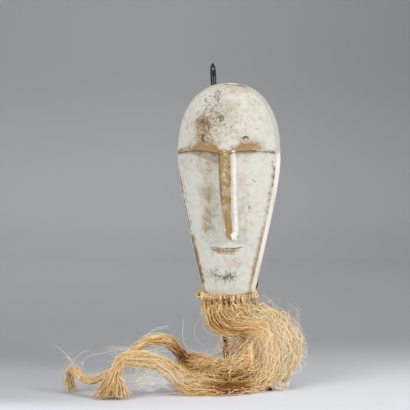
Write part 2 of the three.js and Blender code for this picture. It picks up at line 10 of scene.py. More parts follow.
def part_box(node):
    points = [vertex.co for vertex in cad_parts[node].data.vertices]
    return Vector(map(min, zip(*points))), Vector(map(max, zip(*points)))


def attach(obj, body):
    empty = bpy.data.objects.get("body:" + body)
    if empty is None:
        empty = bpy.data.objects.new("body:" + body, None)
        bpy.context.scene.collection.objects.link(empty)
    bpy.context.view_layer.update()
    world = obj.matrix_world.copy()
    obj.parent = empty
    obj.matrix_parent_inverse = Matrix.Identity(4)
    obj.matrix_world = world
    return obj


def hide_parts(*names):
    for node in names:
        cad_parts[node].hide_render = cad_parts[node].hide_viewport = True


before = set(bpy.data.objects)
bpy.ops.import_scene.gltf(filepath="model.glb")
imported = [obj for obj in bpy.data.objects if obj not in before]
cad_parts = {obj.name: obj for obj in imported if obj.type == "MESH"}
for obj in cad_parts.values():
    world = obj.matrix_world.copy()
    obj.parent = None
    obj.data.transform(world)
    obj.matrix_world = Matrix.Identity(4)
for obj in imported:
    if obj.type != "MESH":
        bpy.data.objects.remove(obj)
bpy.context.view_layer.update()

# Sizes are in millimetres until a mesh is made. The mask's own sizes come from its solid.
METRES = 0.001
mask_low, mask_high = (np.array(corner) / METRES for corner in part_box("mask"))
foot_low, foot_high = (np.array(corner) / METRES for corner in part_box("stand_foot"))
CHIN_HEIGHT = mask_low[2]
RIM_PLANE = mask_high[1]
MASK_HEIGHT = mask_high[2] - mask_low[2]
HALF_WIDTH = mask_high[0]

# Form of the mask, in heights over the chin and depths from the rim plane. The values are its solid's, but
# for the brow's lip, the mouth and the eyes, which are a little finer here.
WIDEST_AT = 200
CROWN_POWER = 2.3
TAPER_SLOPE, TAPER_EASE = 0.235, 44
CHIN_ROUND, CHIN_POWER = 12, 3.2
WALL_DEPTH, FOREHEAD_WALL_DEPTH, WALL_DRAFT = 17, 19, 4.6
FOREHEAD_POWER, FOREHEAD_FULLNESS = 2.4, 0.667
CHEEK_POWER, HOLLOW_POWER = 2.6, 2.8
BROW_HEIGHT, BROW_DEPTH, BROW_LIP = 203, 50, 1.8
BROW_ARCH, BROW_ARCH_START, BROW_ARCH_LENGTH = 4.2, 4, 66
BROW_DIP, BROW_DIP_WIDTH = 1.6, 12
NOSE_TIP_HEIGHT, NOSE_TIP_X, NOSE_TIP_RISE, NOSE_TIP_WIDTH = 83, 9, 9, 12
NOSE_LEFT_FLANK, NOSE_RIGHT_FLANK, NOSE_UNDERCUT = 4.6, 7.6, 2.2
# Each edge of the nose's ridge: its places at the tip and at the brow, and over what height it moves
NOSE_FOOT, NOSE_LEFT_START = 80, NOSE_TIP_HEIGHT + NOSE_TIP_RISE
NOSE_LEFT_X, NOSE_LEFT_RUN, NOSE_LEFT_EASE = (4, -7.2), 130, 0.35
NOSE_RIGHT_X, NOSE_RIGHT_RUN = (11, 9.2), 65
MOUTH_HEIGHT, MOUTH_X, MOUTH_HALF_WIDTH = 70.5, 1, 24
MOUTH_LEFT_RISE, MOUTH_RIGHT_RISE = 2.6, 1.4
LIP_HALF_HEIGHT, LIP_RELIEF = 5.2, 2.6
SLIT_DEPTH, SLIT_WIDTH, SLIT_WAVER, SLIT_WAVER_LENGTH = 2.4, 0.7, 0.4, 2.6
SLIT_LEFT_SHARE = 0.4
EYE_LEFT, EYE_RIGHT = (-24.8, 223.5), (29.8, 222)
EYE_LEFT_RELIEF, EYE_RIGHT_RELIEF = 0.7, 1.15
EYE_RING_RADIUS, EYE_RING_WIRE, EYE_DIMPLE_DEPTH = 5.2, 1.3, 1.6
RIM_WIDTH = 9
RIM_INSETS = (1.2, 3.5, 6, 7.8, 8.75)
WALL_RINGS = 8
RIDGE_STATIONS = [
    (70, 41), (86, 44.5), (95, 45.5), (120, 46), (160, 47), (190, 48.2), (BROW_HEIGHT, BROW_DEPTH),
]
CHEEK_STATIONS = [
    (WALL_DRAFT, 18), (12, 21), (25, 24), (45, 26), (72, 27.5), (100, 28.5), (130, 30.5), (165, 34),
    (BROW_HEIGHT, 39.5),
]
HOLLOW_STATIONS = [
    (RIM_WIDTH, 3), (16, 9), (30, 14), (60, 17), (100, 19), (150, 23), (190, 29), (225, 34), (250, 33),
    (275, 25), (287, 15), (293, 5),
]

# Rows of the mask's mesh between crown and chin: top, bottom and gap of each band
ROW_BANDS = [
    (239.5, 213, 0.6), (213, 206, 0.9), (206, 199, 0.3), (199, 95, 1.5), (95, 64, 0.5), (64, 17.2, 1.3),
]
# How far rows at these heights follow the brow's arch and the nose tip's curve
BROW_PULL = [(165, 0), (184, 0.3), (195, 0.7), (201.4, 1), (BROW_HEIGHT, 1), (213.6, 0)]
TIP_PULL = [(77.2, 0), (80.6, 0.9), (NOSE_TIP_HEIGHT, 1), (90, 0.6), (108, 0)]

# Marks on the paint, as places sideways and over the chin. The row of a patch holds its middle, its half
# sizes and its strength, and the row of a stroke its two ends, its width and its strength.
PATCHES = {
    "ochre": [
        (2, 203, 6, 13, -0.3), (-34, 228, 9, 16, 0.4), (-27, 234, 26, 30, 0.35), (34, 214, 17, 11, 0.75),
        (15, 230, 9, 10, 0.45), (28, 262, 34, 30, 0.3), (-23, 118, 12, 38, 0.26), (-23, 135, 17, 66, 0.4),
        (27, 150, 11, 60, 0.4), (10, 52, 18, 9, 0.3), (14, 292, 24, 8, 0.3), (-38, 190, 26, 12, 0.35),
        (24, 86, 8, 12, 0.35),
    ],
    "bare": [(4, 30, 8, 6, 0.6)],
    "grime": [
        (-11, 284, 7, 9, 0.9), (-26, 273, 5, 9, 0.6), (-5, 250, 6, 5, 0.75), (-14, 262, 32, 26, 0.4),
        (-28, 246, 12, 9, 0.5), (-24, 232, 6, 10, 0.5), (4, 30, 12, 8, 0.85), (-17, 35, 8, 10, 0.65),
        (-6, 32, 24, 9, 0.45), (-30, 240, 18, 16, 0.3),
    ],
    "smoke_and_shadow": [(-6, 254, 32, 30, 0.7), (-11, 286, 9, 10, 0.35)],
    "chalk_and_highlight": [(0, 212, 7, 9, 0.3)],
}
STROKES = {
    "ochre": [(-2, 299, 14, 299, 2, 0.5)],
    "bare": [(60, 207, 66, 205, 2.2, 0.7), (-68, 205, -63, 209, 3, 0.7), (-21, 73, -17, 66, 1.6, 0.45)],
    "grime": [
        (15, 298.5, 24, 296.5, 1.5, 1.4), (-20, 78, -12, 78.5, 1.2, 0.9), (39, 166, 40.5, 163, 1.1, 1.2),
        (33, 129, 31, 122, 1.2, 1.1), (27, 146, 27.5, 142, 0.9, 0.8), (-33, 14, -30, 8, 1.5, 0.9),
        (34, 239.5, 47, 236.4, 0.6, 0.9), (-35.5, 227.5, -35, 225.5, 1.2, 1.2),
    ],
    "smoke_and_shadow": [],
    # The first stroke here is a painted highlight on the right of the nose tip; the second is white chalk at
    # the crown.
    "chalk_and_highlight": [(12, 90, 14, 84, 3, 0.95), (0, 301, 15, 300, 1.4, 0.6)],
}
# Dark crescents at the eyes: middle, heading of the crescent, distance from the middle, width
EYE_CRESCENTS = [(EYE_LEFT, math.pi * 1.05, 5.4, 1.8), (EYE_RIGHT, math.pi * 0.5, 3.6, 1.2)]

# Routes of the beard: each gate is one point on either edge of a sheet of fibre. They are those of its
# solids, but for the splayed end of the front tail and the end curl, which are finer here.
SWEEP_GATES = [
    (-37, -2, 116, 4, -4, 114), (-33, -6, 97, 8, -12, 107), (-23, -10, 79, 17, -18, 97),
    (3, -14, 70, 29, -22, 95), (30, -20, 71, 46, -24, 95), (46, -26, 65, 67, -26, 86),
    (49, -32, 48, 78, -28, 62), (46, -42, 27, 76, -34, 32), (36, -56, 10, 66, -44, 12),
    (20, -70, 8, 46, -62, 6),
]
OUTER_GATES = [
    (9, -3, 114, 43, -2, 115), (23, -5, 106, 55, -3, 109), (41, -8, 97, 77, -6, 100),
    (59, -12, 83, 91, -8, 86), (69, -15, 65, 102, -10, 67), (71, -20, 47, 103, -12, 46),
    (68, -26, 29, 92, -18, 24), (59, -36, 15, 80, -26, 8), (43, -50, 9, 64, -40, 5),
]
INNER_GATES = [
    (-18, 1, 114, 24, 1, 114), (-8, -2, 95, 32, -4, 100), (16, -8, 79, 44, -10, 82),
    (24, -16, 66, 51, -18, 64), (14, -28, 49, 52, -30, 46), (0, -42, 36, 46, -42, 30),
    (-19, -58, 24, 22, -60, 17), (-33, -72, 17, 3, -76, 8),
]
PILE_FRONT_GATES = [
    (44, -52, 9, 54, -60, 1), (26, -64, 14, 35, -78, 1), (3, -74, 20, 11, -92, 1),
    (-20, -80, 25, -10, -98, 1), (-38, -88, 27, -35, -102, 1),
]
PILE_BACK_GATES = [
    (24, -40, 6, 15, -26, 34), (-2, -48, 6, -9, -35, 38), (-23, -62, 8, -29, -45, 46),
    (-39, -74, 10, -42, -55, 49),
]
FRONT_TAIL_GATES = [
    (-28, -92, 19, -37, -104, 0), (-39, -95, 29, -56, -101, 10), (-51, -99, 38, -62, -103, 19),
    (-64, -103, 47, -78, -106, 34), (-88, -110, 57, -88, -110, 38), (-106, -118, 60, -106, -118, 40),
    (-119, -124, 60, -117, -123, 44), (-130, -130, 54, -125, -129, 41), (-134, -135, 44, -129, -133, 32),
    (-147, -143, 20, -119, -140, 18), (-162, -142, 3, -110, -142, 3),
]
BACK_TAIL_GATES = [
    (-42, -56, 40, -44, -60, 26), (-48, -60, 50, -55, -62, 38), (-56, -66, 61, -62, -67, 50),
    (-61, -70, 70, -70, -73, 59), (-69, -75, 78, -77, -79, 64), (-81, -84, 80, -87, -86, 66),
    (-93, -92, 78, -94, -92, 65), (-104, -104, 74, -102, -101, 62), (-118, -117, 61, -114, -115, 55),
    (-129, -128, 54, -124, -126, 48),
]
END_CURL_GATES = [
    (-146, -137, 35, -146, -137, 25), (-157, -131, 30, -157, -131, 20), (-169, -125, 25, -169, -125, 17),
    (-179, -118, 26, -179, -118, 18), (-188, -112, 33, -187, -112, 22), (-200, -105, 37, -196, -105, 25),
    (-211, -100, 28, -198, -100, 21), (-213, -97, 16, -197, -97, 13), (-211, -95, 6, -195, -95, 5),
    (-206, -93, 1, -192, -93, 1),
]


def smooth(value):
    eased = np.clip(value, 0, 1)
    return eased * eased * (3 - 2 * eased)


def mix(a, b, share):
    return a + (b - a) * share


def station(stations, place):
    return np.interp(place, *zip(*stations))


def bump_at(distance, width):
    """1 at distance 0, falling off smoothly over about the width"""
    return np.exp(-((distance / width) ** 2))


def patch(x, y, middle_x, middle_y, wide, tall):
    """1 in the middle of an oval, falling off smoothly over its half sizes"""
    return bump_at(np.hypot((x - middle_x) / wide, (y - middle_y) / tall), 1)


def stroke(x, y, start_x, start_y, end_x, end_y, width):
    """1 on the straight line between two places, falling off over the width"""
    run_x, run_y = end_x - start_x, end_y - start_y
    share = np.clip(((x - start_x) * run_x + (y - start_y) * run_y) / (run_x**2 + run_y**2), 0, 1)
    return bump_at(np.hypot(x - start_x - share * run_x, y - start_y - share * run_y), width)


def field(points, scale, seed, octaves=3):
    """Smooth noise in about -1 to 1 at points in millimetres, with features of about scale millimetres"""
    shift = Vector((17.3 * seed, -9.1 * seed, 4.7 * seed))
    values = [noise.fractal(Vector(p) / scale + shift, 0.9, 2.0, octaves) for p in points.tolist()]
    return np.array(values)


# Mask: outline and surfaces, on arrays of heights v and sideways places u

def side_width(v, inset):
    return HALF_WIDTH - inset - TAPER_SLOPE * (np.hypot(WIDEST_AT - v, TAPER_EASE) - TAPER_EASE)


def half_width(v, inset):
    crown = MASK_HEIGHT - WIDEST_AT - inset
    rise = np.clip((v - WIDEST_AT) / crown, 0, 1)
    upper = (HALF_WIDTH - inset) * (1 - rise**CROWN_POWER) ** (1 / CROWN_POWER)
    corner = inset + CHIN_ROUND
    drop = np.clip((corner - v) / CHIN_ROUND, 0, 1)
    lower = side_width(np.maximum(v, corner), inset) * (1 - drop**CHIN_POWER) ** (1 / CHIN_POWER)
    return np.where(v >= WIDEST_AT, upper, lower)


def same_share(v, inset, other):
    """The height that lies on the outline with the other inset where v lies on the one with this inset"""
    crown = MASK_HEIGHT - WIDEST_AT
    upper = WIDEST_AT + (v - WIDEST_AT) * (crown - other) / (crown - inset)
    lower = WIDEST_AT - (WIDEST_AT - v) * (WIDEST_AT - other) / (WIDEST_AT - inset)
    return np.where(v >= WIDEST_AT, upper, lower)


def brow_line(u):
    arch = BROW_ARCH * np.sin(np.pi * np.clip((np.abs(u) - BROW_ARCH_START) / BROW_ARCH_LENGTH, 0, 1))
    return BROW_HEIGHT + arch - BROW_DIP * bump_at(u, BROW_DIP_WIDTH)


def tip_line(u):
    return NOSE_TIP_HEIGHT + NOSE_TIP_RISE * smooth(np.abs(u - NOSE_TIP_X) / NOSE_TIP_WIDTH)


def nose_edges(v):
    """Left and right edge of the nose's ridge"""
    left_share = smooth((np.maximum(v, NOSE_LEFT_START) - NOSE_FOOT) / NOSE_LEFT_RUN) ** NOSE_LEFT_EASE
    right_share = smooth((v - NOSE_FOOT) / NOSE_RIGHT_RUN)
    return mix(*NOSE_LEFT_X, left_share), mix(*NOSE_RIGHT_X, right_share)


def forehead_depth(u, v, edge):
    rise = np.clip((v - BROW_HEIGHT) / (MASK_HEIGHT - WALL_DRAFT - BROW_HEIGHT), 0, 1)
    middle = mix(FOREHEAD_WALL_DEPTH, BROW_DEPTH, (1 - rise**FOREHEAD_POWER) ** FOREHEAD_FULLNESS)
    return mix(FOREHEAD_WALL_DEPTH, middle, 1 - (np.abs(u) / edge) ** FOREHEAD_POWER)


def mouth_line(u):
    aside = (u - MOUTH_X) / MOUTH_HALF_WIDTH
    rise = np.where(aside < 0, MOUTH_LEFT_RISE, MOUTH_RIGHT_RISE)
    return MOUTH_HEIGHT + rise * np.minimum(np.abs(aside), 1.2) ** 1.5


def over_slit(u, v):
    """Height over the slit between the lips, which wavers along the mouth's line"""
    return v - mouth_line(u) - SLIT_WAVER * np.sin(u / SLIT_WAVER_LENGTH)


def lower_depth(u, v, edge):
    cheek = mix(WALL_DEPTH, station(CHEEK_STATIONS, v), 1 - (np.abs(u) / edge) ** CHEEK_POWER)
    left, right = nose_edges(v)
    outside = np.maximum(np.maximum((left - u) / NOSE_LEFT_FLANK, (u - right) / NOSE_RIGHT_FLANK), 0)
    flank = np.clip(1 - 1.1 * outside, 0, 1)
    under_tip = smooth((v - tip_line(u) + NOSE_UNDERCUT) / NOSE_UNDERCUT)
    nose = (station(RIDGE_STATIONS, v) - cheek) * flank * under_tip
    along = np.clip(1 - (np.abs(u - MOUTH_X) / MOUTH_HALF_WIDTH) ** 2, 0, 1)
    across = np.clip(1 - ((v - mouth_line(u)) / LIP_HALF_HEIGHT) ** 2, 0, 1)
    slit = SLIT_DEPTH * bump_at(over_slit(u, v), SLIT_WIDTH) * smooth(along * 3)
    full_share = mix(SLIT_LEFT_SHARE, 1, smooth((u + 6) / 9))
    return cheek + nose + LIP_RELIEF * along * across - slit * full_share


def eye_relief(u, v):
    relief = np.zeros_like(u)
    for (x, y), height in ((EYE_LEFT, EYE_LEFT_RELIEF), (EYE_RIGHT, EYE_RIGHT_RELIEF)):
        reach = np.hypot(u - x, v - y)
        ring = bump_at(reach - EYE_RING_RADIUS, EYE_RING_WIRE * 0.8)
        bowl = np.clip(1 - (reach / (EYE_RING_RADIUS - 0.4)) ** 2, 0, 1)
        relief += height * (EYE_RING_WIRE * ring - EYE_DIMPLE_DEPTH * bowl)
    return relief


def face_depth(u, v, edge):
    edge = np.maximum(edge, 0.01)
    u = np.clip(u, -edge, edge)
    over_brow = smooth((v - brow_line(u) + BROW_LIP) / BROW_LIP)
    return mix(lower_depth(u, v, edge), forehead_depth(u, v, edge) + eye_relief(u, v), over_brow)


def hollow_depth(u, v, edge):
    aside = np.clip(np.abs(u) / np.maximum(edge, 0.01), 0, 1)
    return mix(1, station(HOLLOW_STATIONS, v), 1 - aside**HOLLOW_POWER)


def mask_rows():
    """Heights of the rows, close together at the crown, the eyes, the brow, the nose tip and the lips"""
    top = MASK_HEIGHT - WALL_DRAFT
    crown = WIDEST_AT + (top - WIDEST_AT) * np.sin(np.radians(np.linspace(90, 24.3, 62)))
    chin = WALL_DRAFT + CHIN_ROUND * (1 - np.sin(np.radians(np.linspace(0, 90, 22))) ** (2 / CHIN_POWER))
    middle = [np.arange(upper, lower, -gap) for upper, lower, gap in ROW_BANDS]
    return np.concatenate([crown, *middle, chin])


def mask_ring(inset, depth, sign, height):
    """One column of points round a side of the mask, at an inset and a depth"""
    v = same_share(height, WALL_DRAFT, inset)
    return np.stack([sign * half_width(v, inset), v, np.broadcast_to(depth, v.shape)], axis=-1)


def mask_side(sign, height, depth):
    """Columns of points down one wall and over the rim"""
    shares = np.linspace(0, 1, WALL_RINGS + 1)[1:]
    wall = [mask_ring(WALL_DRAFT * (1 - share), depth * (1 - share), sign, height) for share in shares]
    return wall + [mask_ring(inset, 0, sign, height) for inset in RIM_INSETS]


def mask_points():
    """The closed skin as rows of loops: across the face, round the right rim and back through the hollow"""
    rows = mask_rows()[:, None]
    fine = np.linspace(-0.5, 0.5, 101)
    side = np.array([*np.linspace(0.515, 0.97, 21), 0.985, 0.995, 1.0])
    across = np.concatenate([-side[::-1], fine, side])[None, :]
    u = across * half_width(rows, WALL_DRAFT)
    brow_move = station(BROW_PULL, rows) * (brow_line(u) - BROW_HEIGHT)
    tip_move = station(TIP_PULL, rows) * (tip_line(u) - NOSE_TIP_HEIGHT)
    v = rows + brow_move + tip_move
    edge = half_width(v, WALL_DRAFT)
    u = np.where(np.abs(across) == 1, np.sign(across) * edge, u)
    front = np.stack([u, v, face_depth(u, v, edge)], axis=-1)
    right = np.stack(mask_side(1, v[:, -1], front[:, -1, 2]), axis=1)
    left = np.stack(mask_side(-1, v[:, 0], front[:, 0, 2])[::-1], axis=1)
    height = same_share(rows, WALL_DRAFT, RIM_WIDTH)
    inner = half_width(height, RIM_WIDTH)
    back_u = np.sin(np.radians(np.linspace(90, -90, 26)))[None, :] * inner
    back_v = np.broadcast_to(height, back_u.shape)
    hollow = np.stack([back_u, back_v, hollow_depth(back_u, back_v, inner)], axis=-1)
    return np.concatenate([front, right, hollow, left], axis=1), front.shape[1]


def loop_faces(rows, columns):
    """Quads of a grid whose columns close on themselves"""
    row, column = np.meshgrid(np.arange(rows - 1), np.arange(columns), indexing="ij")
    here = row * columns + column
    beside = row * columns + (column + 1) % columns
    return np.stack([here, here + columns, beside + columns, beside], axis=-1).reshape(-1, 4)


# Materials

KAOLIN, KAOLIN_COOL, CREAM = (0.575, 0.565, 0.505, 1), (0.545, 0.547, 0.505, 1), (0.52, 0.465, 0.335, 1)
OCHRE, UMBER, BARE_WOOD = (0.292, 0.185, 0.066, 1), (0.22, 0.118, 0.033, 1), (0.18, 0.1, 0.046, 1)
# The smoke colour is both real smoke staining on the forehead and the painted shadow under the brows; the
# chalk colour is both white chalk and painted highlights on the lit right side of the nose and the mask.
GRIME, SMOKE_AND_SHADOW, CHALK_AND_HIGHLIGHT = (0.11, 0.088, 0.064, 1), (0.36, 0.285, 0.225, 1), (0.90, 0.84, 0.77, 1)
FLAX, STRAW, HONEY = (1.0, 0.86, 0.61, 1), (0.95, 0.735, 0.42, 1), (0.82, 0.53, 0.20, 1)
RUSSET, SHADE = (0.54, 0.23, 0.045, 1), (0.19, 0.065, 0.013, 1)
WISP, KNOT_PALEST = (1, 0.95, 0.87, 1), (0.87, 0.74, 0.55, 1)
BLACK, WORN_BLACK = (0.004, 0.004, 0.004, 1), (0.012, 0.011, 0.01, 1)
# Greys of the sweep, which paint light and shade on it: brightest at the front, greyer further back and up
# the backdrop, darker on the right further back, with a painted shadow at the near left. The pairs are left
# and right.
FLOOR_FRONT = (0.78, 0.8, 0.87, 1)
FLOOR_NEAR = (0.53, 0.538, 0.56, 1), (0.74, 0.755, 0.81, 1)
FLOOR_FAR = (0.385, 0.39, 0.40, 1), (0.375, 0.377, 0.382, 1)
FLOOR_BEYOND = (0.72, 0.725, 0.74, 1), (0.58, 0.583, 0.59, 1)
BACKDROP_FOOT = (0.61, 0.615, 0.63, 1), (0.48, 0.483, 0.49, 1)
BACKDROP = (0.48, 0.483, 0.495, 1), (0.365, 0.368, 0.375, 1)


def new_material(name):
    material = bpy.data.materials.new(name)
    material.use_nodes = True
    return material, material.node_tree, material.node_tree.nodes["Principled BSDF"]


def set_input(tree, socket, value):
    if isinstance(value, bpy.types.NodeSocket):
        tree.links.new(value, socket)
    else:
        socket.default_value = value


def node(tree, kind, inputs=(), **settings):
    made = tree.nodes.new(kind)
    for key, value in settings.items():
        setattr(made, key, value)
    for key, value in dict(inputs).items():
        set_input(tree, made.inputs[key], value)
    return made


def grain(tree, scale, detail=4, stretch=(1, 1, 1)):
    """Noise fixed to the object, with features per metre"""
    place = node(tree, "ShaderNodeTexCoord").outputs["Object"]
    moved = node(tree, "ShaderNodeMapping", {"Vector": place, "Scale": stretch}).outputs["Vector"]
    inputs = {"Vector": moved, "Scale": scale, "Detail": detail}
    return node(tree, "ShaderNodeTexNoise", inputs).outputs["Fac"]


def ranged(tree, value, low, high, to_low=0.0, to_high=1.0):
    inputs = {"Value": value, "From Min": low, "From Max": high, "To Min": to_low, "To Max": to_high}
    return node(tree, "ShaderNodeMapRange", inputs, interpolation_type="SMOOTHSTEP").outputs["Result"]


def maths(tree, operation, a, b):
    return node(tree, "ShaderNodeMath", {0: a, 1: b}, operation=operation).outputs[0]


def summed(tree, start, *terms):
    """A value with other values, each times its weight, added to it"""
    total = start
    for value, weight in terms:
        total = maths(tree, "ADD", total, maths(tree, "MULTIPLY", value, weight))
    return total


def blended(tree, share, a, b):
    """Colour a turning into colour b. The inputs go by number: a mix node has several of each name."""
    return node(tree, "ShaderNodeMix", {0: share, 6: a, 7: b}, data_type="RGBA").outputs[2]


def layered(tree, colour, *layers):
    """Colours laid over a first one, each where its value runs from low to high, and at most so far"""
    for value, low, high, most, over in layers:
        colour = blended(tree, ranged(tree, value, low, high, 0, most), colour, over)
    return colour


def attribute(tree, name):
    return node(tree, "ShaderNodeAttribute", attribute_name=name).outputs["Fac"]


def finish_shader(tree, shader, colour, roughness, specular):
    set_input(tree, shader.inputs["Base Color"], colour)
    set_input(tree, shader.inputs["Roughness"], roughness)
    set_input(tree, shader.inputs["Specular IOR Level"], specular)


def bumped(tree, shader, height, distance, strength):
    bump = node(tree, "ShaderNodeBump", {"Height": height, "Distance": distance, "Strength": strength})
    tree.links.new(bump.outputs["Normal"], shader.inputs["Normal"])


def whitened_wood():
    material, tree, shader = new_material("whitened_wood")
    broad, middle, fine = grain(tree, 28), grain(tree, 120, 6), grain(tree, 800, 5)
    specks = grain(tree, 300, 3)
    fibres = grain(tree, 500, 3, stretch=(1, 1, 0.08))
    breakup = summed(tree, 0.0, (middle, 0.55), (specks, 0.45))
    loosened = maths(tree, "SUBTRACT", breakup, 0.5)
    flecked = maths(tree, "SUBTRACT", specks, 0.5)
    stain = layered(tree, OCHRE, (breakup, 0.47, 0.72, 1, UMBER))

    def worn(name, noise, strength):
        """One kind of wear from the mesh, broken up by noise"""
        return summed(tree, attribute(tree, name), (noise, strength))

    colour = layered(
        tree, KAOLIN,
        (broad, 0.4, 0.62, 1, KAOLIN_COOL),
        (middle, 0.44, 0.72, 0.5, CREAM),
        (fibres, 0.52, 0.75, 0.25, CREAM),
        (worn("smoke_and_shadow", loosened, 0.8), 0.1, 1.0, 0.85, SMOKE_AND_SHADOW),
        (worn("ochre", loosened, 1.1), 0.0, 1.15, 0.95, stain),
        (worn("chalk_and_highlight", loosened, 1.6), 0.25, 0.8, 1, CHALK_AND_HIGHLIGHT),
        (worn("bare", loosened, 1.6), 0.25, 0.85, 0.85, BARE_WOOD),
        (worn("grime", flecked, 3.2), 0.35, 1.4, 0.85, GRIME),
        (fine, 0.58, 0.8, 0.25, BARE_WOOD),
    )
    finish_shader(tree, shader, colour, ranged(tree, middle, 0.3, 0.7, 0.72, 0.95), 0.3)
    relief = summed(tree, 0.0, (middle, 0.6), (fine, 0.25), (fibres, 0.3))
    bumped(tree, shader, relief, 0.0012, 0.8)
    return material


def fibre(name, lift=0.0, palest=FLAX):
    """Dry plant fibre. The mesh says how pale each strand is; noise varies it along the strand."""
    material, tree, shader = new_material(name)
    along, speckled = grain(tree, 160, 3), grain(tree, 1100, 2)
    tone = summed(tree, attribute(tree, "tone"), (along, 0.35), (speckled, 0.6))
    tone = maths(tree, "ADD", tone, lift - 0.47)
    colour = layered(
        tree, SHADE,
        (tone, 0.0, 0.28, 1, RUSSET), (tone, 0.22, 0.55, 1, HONEY), (tone, 0.45, 0.8, 1, STRAW),
        (tone, 0.8, 1.15, 1, palest),
    )
    finish_shader(tree, shader, colour, ranged(tree, grain(tree, 400, 2), 0.3, 0.7, 0.5, 0.75), 0.15)
    shader.inputs["Sheen Weight"].default_value = 0.03
    bumped(tree, shader, grain(tree, 2500, 2), 0.0002, 0.4)
    return material


def black_metal():
    material, tree, shader = new_material("black_metal")
    colour = layered(tree, BLACK, (grain(tree, 90, 5), 0.55, 0.75, 1, WORN_BLACK))
    finish_shader(tree, shader, colour, ranged(tree, grain(tree, 300, 4), 0.3, 0.7, 0.12, 0.26), 0.35)
    bumped(tree, shader, grain(tree, 700, 3), 0.0002, 0.15)
    return material


# The mask as a piece

def new_mesh(name, points, faces, fields):
    """A mesh from points in millimetres, with values stored at its points"""
    mesh = bpy.data.meshes.new(name)
    mesh.from_pydata((points * METRES).tolist(), [], faces)
    for key, values in fields.items():
        layer = mesh.attributes.new(key, "FLOAT", "POINT")
        layer.data.foreach_set("value", np.ascontiguousarray(values, dtype=np.float32))
    return mesh


def add_piece(name, mesh, material, replaced):
    """A smooth-shaded piece, riding on the one body"""
    mesh.shade_smooth()
    mesh.materials.append(material)
    piece = bpy.data.objects.new(name, mesh)
    bpy.context.scene.collection.objects.link(piece)
    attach(piece, "root")
    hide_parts(*replaced)


def nose_and_brow_wear(points, broken):
    u, v = points[:, 0], points[:, 1]
    left, right = nose_edges(v)
    in_nose = (v > tip_line(u)) & (v < BROW_HEIGHT + 4)
    ridge = in_nose * bump_at(np.maximum(np.maximum(left + 1.2 - u, u - right + 0.4), 0), 0.9)
    chips = smooth(0.3 + 1.6 * field(points * np.array([0.3, 1, 1]), 3.0, 8))
    bridge = bump_at(u - 1.5, 3.2) * smooth((v - 143) / 6)
    chipped = in_nose * chips * (bridge + 0.8 * bump_at(u - 0.5, 1.8) * bump_at(v - 105, 16))
    above_brow = v - brow_line(u)
    ochre = mix(0.88, 1.15, broken) * ridge - 0.6 * chipped
    ochre += mix(0.6, 0.95, broken) * bump_at(above_brow - 3, 4.8) * smooth(1.3 - np.abs(u) / HALF_WIDTH)
    bare = 0.7 * bump_at(above_brow + 0.3, 1.1) * mix(0.6, 1.2, broken)
    left_edge = bump_at(u - left - 0.6, 1.6) * smooth((v - 125) / 14)
    bare += in_nose * (left_edge + 0.45 * bump_at(u - right + 0.8, 1.0))
    # Painted highlight: the right flank of the nose, where the light falls, is made paler.
    beside_ridge = 0.62 * bump_at(u - right - 4.5, 3.2) + 0.4 * bump_at(u - left - 1, 1) * (v < 130)
    return {"ochre": ochre, "bare": bare, "chalk_and_highlight": in_nose * beside_ridge + 0.32 * chipped}


def rim_wear(u, v):
    rim_gap = half_width(v, WALL_DRAFT) - np.abs(u)
    low = smooth((198 - v) / 30)
    lower_left = low * mix(0.62, 1.35, u < 0) * smooth((v - 20) / 8)
    ochre = mix(0.6, 0.85, smooth((110 - v) / 30)) * bump_at(rim_gap - 2, 3) * low
    bare = bump_at(rim_gap - 0.9, 1.2) * mix(0.12, 0.72, lower_left)
    bare += 0.5 * bump_at(rim_gap - 4.5, 0.9) * lower_left
    bare += 0.45 * bump_at(rim_gap - 2.4, 2) * (u < 0) * smooth((78 - v) / 10) * smooth((v - 14) / 6)
    return {"ochre": ochre * np.where(u > 0, 1, v < 90), "bare": bare}


def lip_wear(points, crumbled):
    u, v = points[:, 0], points[:, 1]
    gap = over_slit(u, v)
    slit_left = smooth((u + 22) / 4) * smooth((3 - u) / 4)
    slit_right = smooth((u + 1) / 4) * smooth((28 - u) / 4)
    lower_lip = smooth(1.15 - ((u + 1) / 22) ** 2) * (gap < 0.5) * smooth((gap + 10.5) / 3.5)
    streaks = smooth(0.5 + 1.3 * field(points * np.array([1, 0.25, 1]), 2.4, 13))
    bare = bump_at(gap, 1.0) * (0.45 * slit_right + 0.5 * slit_left * crumbled) + 0.22 * lower_lip * streaks
    grime = mix(0.2, 0.55, u > 0) * bump_at(gap + 4, 3) * lower_lip
    grime += bump_at(gap, 0.9) * (mix(0.35, 0.95, crumbled) * slit_right + 0.35 * slit_left * crumbled)
    return {"ochre": mix(0.42, 0.92, streaks) * lower_lip, "bare": bare, "grime": grime}


def eye_wear(u, v):
    crescents = np.zeros_like(u)
    for (x, y), heading, out, width in EYE_CRESCENTS:
        facing = np.cos(np.arctan2(v - y, u - x) - heading)
        crescents += bump_at(np.hypot(u - x, v - y) - out, width) * smooth(facing * 1.5 - 0.1)
    lit = smooth(0.75 - 0.6 * (v - EYE_RIGHT[1]) / EYE_RING_RADIUS)
    right_ring = bump_at(np.hypot(u - EYE_RIGHT[0], v - EYE_RIGHT[1]) - EYE_RING_RADIUS, 1.1)
    left_ring = bump_at(np.hypot(u - EYE_LEFT[0] - 2, v - EYE_LEFT[1]) - 3.4, 1.4)
    chalk_and_highlight = 0.5 * right_ring * lit + 0.32 * left_ring
    return {"grime": 2.2 * crescents, "bare": 0.9 * crescents, "chalk_and_highlight": chalk_and_highlight}


def under_brow_shadow(u, v):
    """Painted shadow of the brow: smoke-grey in a wedge under the left brow and in a thin line under the
    right one
    """
    under = brow_line(u) - v
    wedge = mix(3, 15, smooth((u + 66) / 58))
    left = (u < -5) * smooth((wedge - under) / 4 + 0.5) * (0.6 + 0.5 * (under / wedge) ** 2)
    right = (u > 9) * 0.35 * smooth((8 - under) / 5)
    return {"smoke_and_shadow": (under > 0) * (left + right)}


